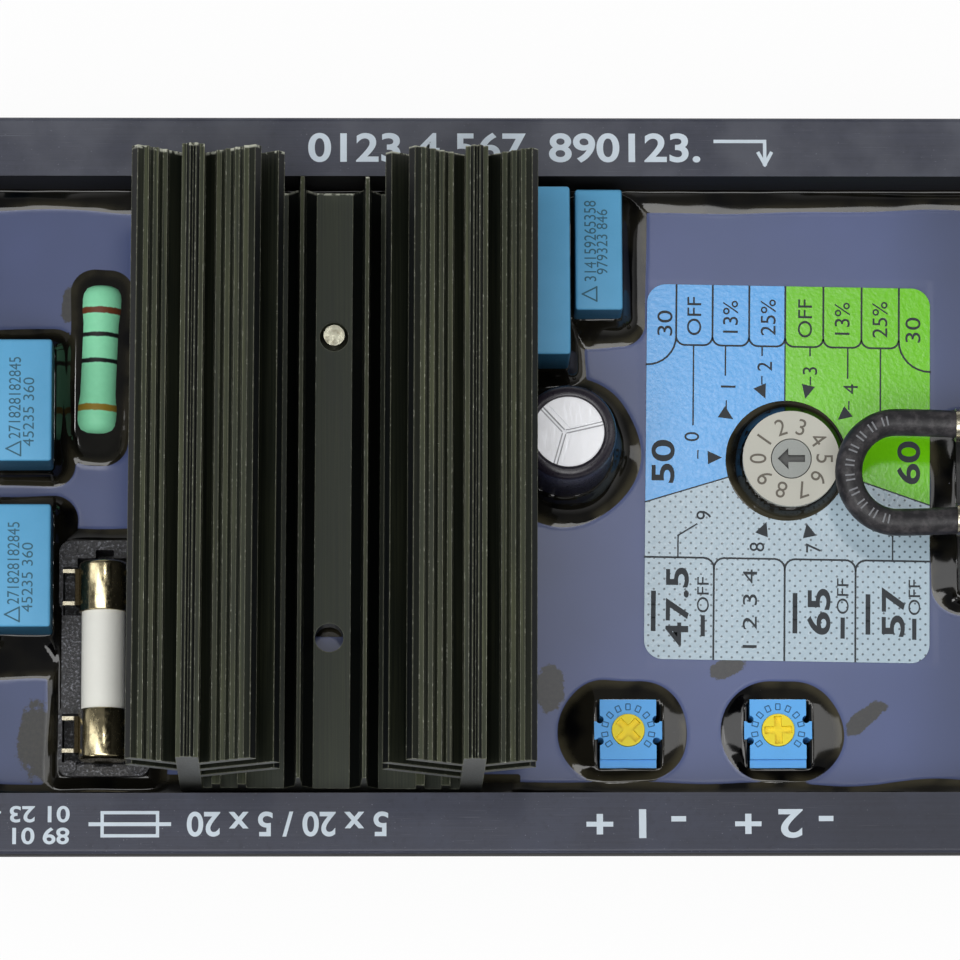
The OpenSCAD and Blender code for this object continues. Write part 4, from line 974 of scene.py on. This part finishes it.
def trimmer_ticks(ink):
    """Small raised frames round each trimmer's rotor, made by one node tree."""
    tree = bpy.data.node_groups.new("ticks", "GeometryNodeTree")
    tree.interface.new_socket("Geometry", in_out="OUTPUT", socket_type="NodeSocketGeometry")
    sockets = {}
    for name, kind, value in (("Count", "NodeSocketInt", 11), ("Radius", "NodeSocketFloat", 2.48 * MM),
                              ("Length", "NodeSocketFloat", 0.62 * MM), ("Width", "NodeSocketFloat", 0.46 * MM),
                              ("Height", "NodeSocketFloat", 0.05 * MM), ("Stroke", "NodeSocketFloat", 0.11 * MM),
                              ("Sweep", "NodeSocketFloat", 250.0)):
        made = tree.interface.new_socket(name, in_out="INPUT", socket_type=kind)
        made.default_value = value
        sockets[name] = made.identifier

    def add(kind, inputs=None, **settings):
        node = tree.nodes.new(kind)
        for key, value in settings.items():
            setattr(node, key, value)
        for key, value in (inputs or {}).items():
            if isinstance(value, bpy.types.NodeSocket):
                tree.links.new(value, node.inputs[key])
            else:
                node.inputs[key].default_value = value
        return node

    given = add("NodeGroupInput").outputs
    spin = add("ShaderNodeMath", {0: given["Sweep"], 1: math.radians(1)}, operation="MULTIPLY").outputs[0]
    arc = add("GeometryNodeCurveArc", {"Resolution": given["Count"], "Radius": given["Radius"],
                                       "Start Angle": math.radians(-35), "Sweep Angle": spin})
    points = add("GeometryNodeCurveToPoints", {"Curve": arc.outputs["Curve"], "Count": given["Count"]})
    sides = add("GeometryNodeJoinGeometry")
    for across, other, width, length in (("X", "Width", "Stroke", "Length"), ("Y", "Length", "Width", "Stroke")):
        size = add("ShaderNodeCombineXYZ", {"X": given[width], "Y": given[length], "Z": given["Height"]})
        side = add("GeometryNodeMeshCube", {"Size": size.outputs[0]}).outputs["Mesh"]
        for half in (-0.5, 0.5):
            away = add("ShaderNodeMath", {0: given[other], 1: half}, operation="MULTIPLY").outputs[0]
            place = add("ShaderNodeCombineXYZ", {across: away})
            moved = add("GeometryNodeTransform", {"Geometry": side, "Translation": place.outputs[0]})
            tree.links.new(moved.outputs[0], sides.inputs[0])
    placed = add("GeometryNodeInstanceOnPoints", {"Points": points.outputs["Points"],
                                                  "Instance": sides.outputs[0]})
    index = add("GeometryNodeInputIndex").outputs[0]
    share = add("ShaderNodeMath", {0: index, 1: 10.0}, operation="DIVIDE").outputs[0]
    angle = add("ShaderNodeMath", {0: share, 1: spin}, operation="MULTIPLY").outputs[0]
    angle = add("ShaderNodeMath", {0: angle, 1: math.radians(-35 - 90)}, operation="ADD").outputs[0]
    turn = add("ShaderNodeCombineXYZ", {"Z": angle})
    tree.links.new(turn.outputs[0], placed.inputs["Rotation"])
    real = add("GeometryNodeRealizeInstances", {"Geometry": placed.outputs["Instances"]})
    done = add("GeometryNodeSetMaterial", {"Geometry": real.outputs[0], "Material": ink})
    out = add("NodeGroupOutput")
    tree.links.new(done.outputs[0], out.inputs[0])
    for side in ("voltage", "stability"):
        low, high = box_mm(side + "_trimmer_rotor")
        base_top = box_mm(side + "_trimmer_body")[1][2]
        holder = bpy.data.objects.new("ticks", bpy.data.meshes.new("ticks"))
        scene.collection.objects.link(holder)
        modifier = holder.modifiers.new("ticks", "NODES")
        modifier.node_group = tree
        modifier[sockets["Count"]] = 11
        bpy.context.view_layer.update()
        ready = holder.evaluated_get(bpy.context.evaluated_depsgraph_get())
        mesh = bpy.data.meshes.new_from_object(ready)
        bpy.data.objects.remove(holder)
        mesh.transform(Matrix.Translation(mm((low[0] + high[0]) / 2, (low[1] + high[1]) / 2, base_top)))
        piece(side + "_ticks", mesh, ink)


# Studio


def lamp(name, kind, place, aim, size, power):
    data = bpy.data.lights.new(name, kind)
    data.energy = power
    data.shape = "RECTANGLE"
    data.size, data.size_y = size
    made = bpy.data.objects.new(name, data)
    scene.collection.objects.link(made)
    made.location = Vector(place)
    made.rotation_euler = (Vector(aim) - Vector(place)).to_track_quat("-Z", "Y").to_euler()


def studio():
    """White to the camera, bright near the horizon and dim overhead, with one large lamp above the camera's side."""
    world = bpy.data.worlds.new("world")
    scene.world = world
    world.use_nodes = True
    tree = world.node_tree
    back = tree.nodes["Background"]
    back.inputs["Color"].default_value = (1.0, 1.0, 1.0, 1.0)
    direction = tree.nodes.new("ShaderNodeTexCoord")
    parts = tree.nodes.new("ShaderNodeSeparateXYZ")
    fade = tree.nodes.new("ShaderNodeMapRange")
    seen = tree.nodes.new("ShaderNodeLightPath")
    bright = tree.nodes.new("ShaderNodeMath")
    bright.operation = "MAXIMUM"
    for name, value in (("From Min", 0.05), ("From Max", 0.45), ("To Min", 0.75), ("To Max", 0.14)):
        fade.inputs[name].default_value = value
    tree.links.new(direction.outputs["Generated"], parts.inputs[0])
    tree.links.new(parts.outputs["Z"], fade.inputs["Value"])
    tree.links.new(fade.outputs[0], bright.inputs[0])
    tree.links.new(seen.outputs["Is Camera Ray"], bright.inputs[1])
    tree.links.new(bright.outputs[0], back.inputs["Strength"])
    lamp("overhead", "AREA", (-0.16, -0.26, 0.9), (0, 0, 0), (1.0, 0.48), 6.4)
    lamp("left_panel", "AREA", (-0.62, 0.15, 0.62), (0, 0, 0), (0.22, 0.6), 0.9)
    lamp("right_panel", "AREA", (0.62, 0.15, 0.62), (0, 0, 0), (0.22, 0.6), 0.9)
    lamp("low_left", "AREA", (-0.75, -0.75, 0.5), (0, 0, 0), (0.2, 0.2), 0.8)
    lamp("small_top", "AREA", (0.045, 0.174, 0.95), (0, 0, 0), (0.09, 0.06), 0.4)
    shape = bmesh.new()
    bmesh.ops.create_grid(shape, x_segments=1, y_segments=1, size=3.0)
    floor = bpy.data.objects.new("floor", from_bmesh("floor", shape))
    scene.collection.objects.link(floor)
    floor.data.materials.append(floor_paper())


make_camera()
studio()
scene.view_settings.view_transform = "Standard"

black = plain("black_moulding", srgb(14, 14, 16), 0.35, 7.0, 0.3, 0.03)
tinned = metal("tinned_wire", srgb(200, 200, 196), 0.3)
brass = metal("tinned_brass", srgb(204, 198, 176), 0.25)
dress(anodised_channel(), "channel_housing")
dress(anodised_sink(), "heat_sink")
dress(black, "left_end_dam", "right_end_dam", "selector_body", "jumper_header", "transistor_body")
dress(grained("grained_black", srgb(24, 24, 28)), "fuse_holder")
dress(plain("board", srgb(40, 80, 50), 0.4), "circuit_board")
dress(plain("pad", srgb(190, 190, 190), 0.6), "insulating_pad")
dress(tinned, "heat_sink_pins", "transistor_leadframe", "rear_film_capacitor_leads",
      "front_film_capacitor_leads", "tall_film_capacitor_leads", "small_film_capacitor_leads",
      "resistor_leads", "electrolytic_leads", "selector_pins", "voltage_trimmer_pins",
      "stability_trimmer_pins")
dress(metal("screw_steel", srgb(172, 170, 152), 0.3), "transistor_screw")
dress(fuse_spring(), "rear_fuse_clip", "front_fuse_clip")
dress(brass, "blade_terminals", "rear_jumper_tab", "front_jumper_tab", "rear_receptacle", "front_receptacle")
dress(plain("fuse_ceramic", srgb(238, 238, 230), 0.5, 3.0, 0.04), "fuse_tube")
dress(can_aluminium(), "electrolytic_can")
dress(plain("dial_face", srgb(196, 195, 184), 0.5, 4.0, 0.06), "selector_dial")
dress(rotor_grey(), "selector_rotor")
dress(label_film(), "setting_label")
dress(plain("trimmer_blue", srgb(92, 176, 246), 0.4, 5.0, 0.08), "voltage_trimmer_body",
      "stability_trimmer_body")
dress(plain("rotor_yellow", srgb(248, 224, 30), 0.45, 5.0, 0.1), "voltage_trimmer_rotor",
      "stability_trimmer_rotor")

dark_ink = plain("dark_ink", srgb(40, 46, 52), 0.6)
resin_pool()
film_capacitors(capacitor_blue(), plain("capacitor_ink", srgb(42, 92, 112), 0.6))
electrolytic(plain("shrunk_sleeve", srgb(36, 32, 42), 0.3, 3.0, 0.2))
fuse(metal("cap_metal", srgb(196, 184, 148), 0.2))
resistor(resistor_lacquer())
jumper(wire_sleeve(), plain("wire_ink", srgb(120, 122, 126), 0.6))
rim_print(plain("rim_ink", srgb(200, 212, 222), 0.6))
dial_numbers(plain("dial_ink", srgb(104, 98, 88), 0.6))
label_print(dark_ink)
trimmer_ticks(plain("tick_ink", srgb(40, 96, 140), 0.6))
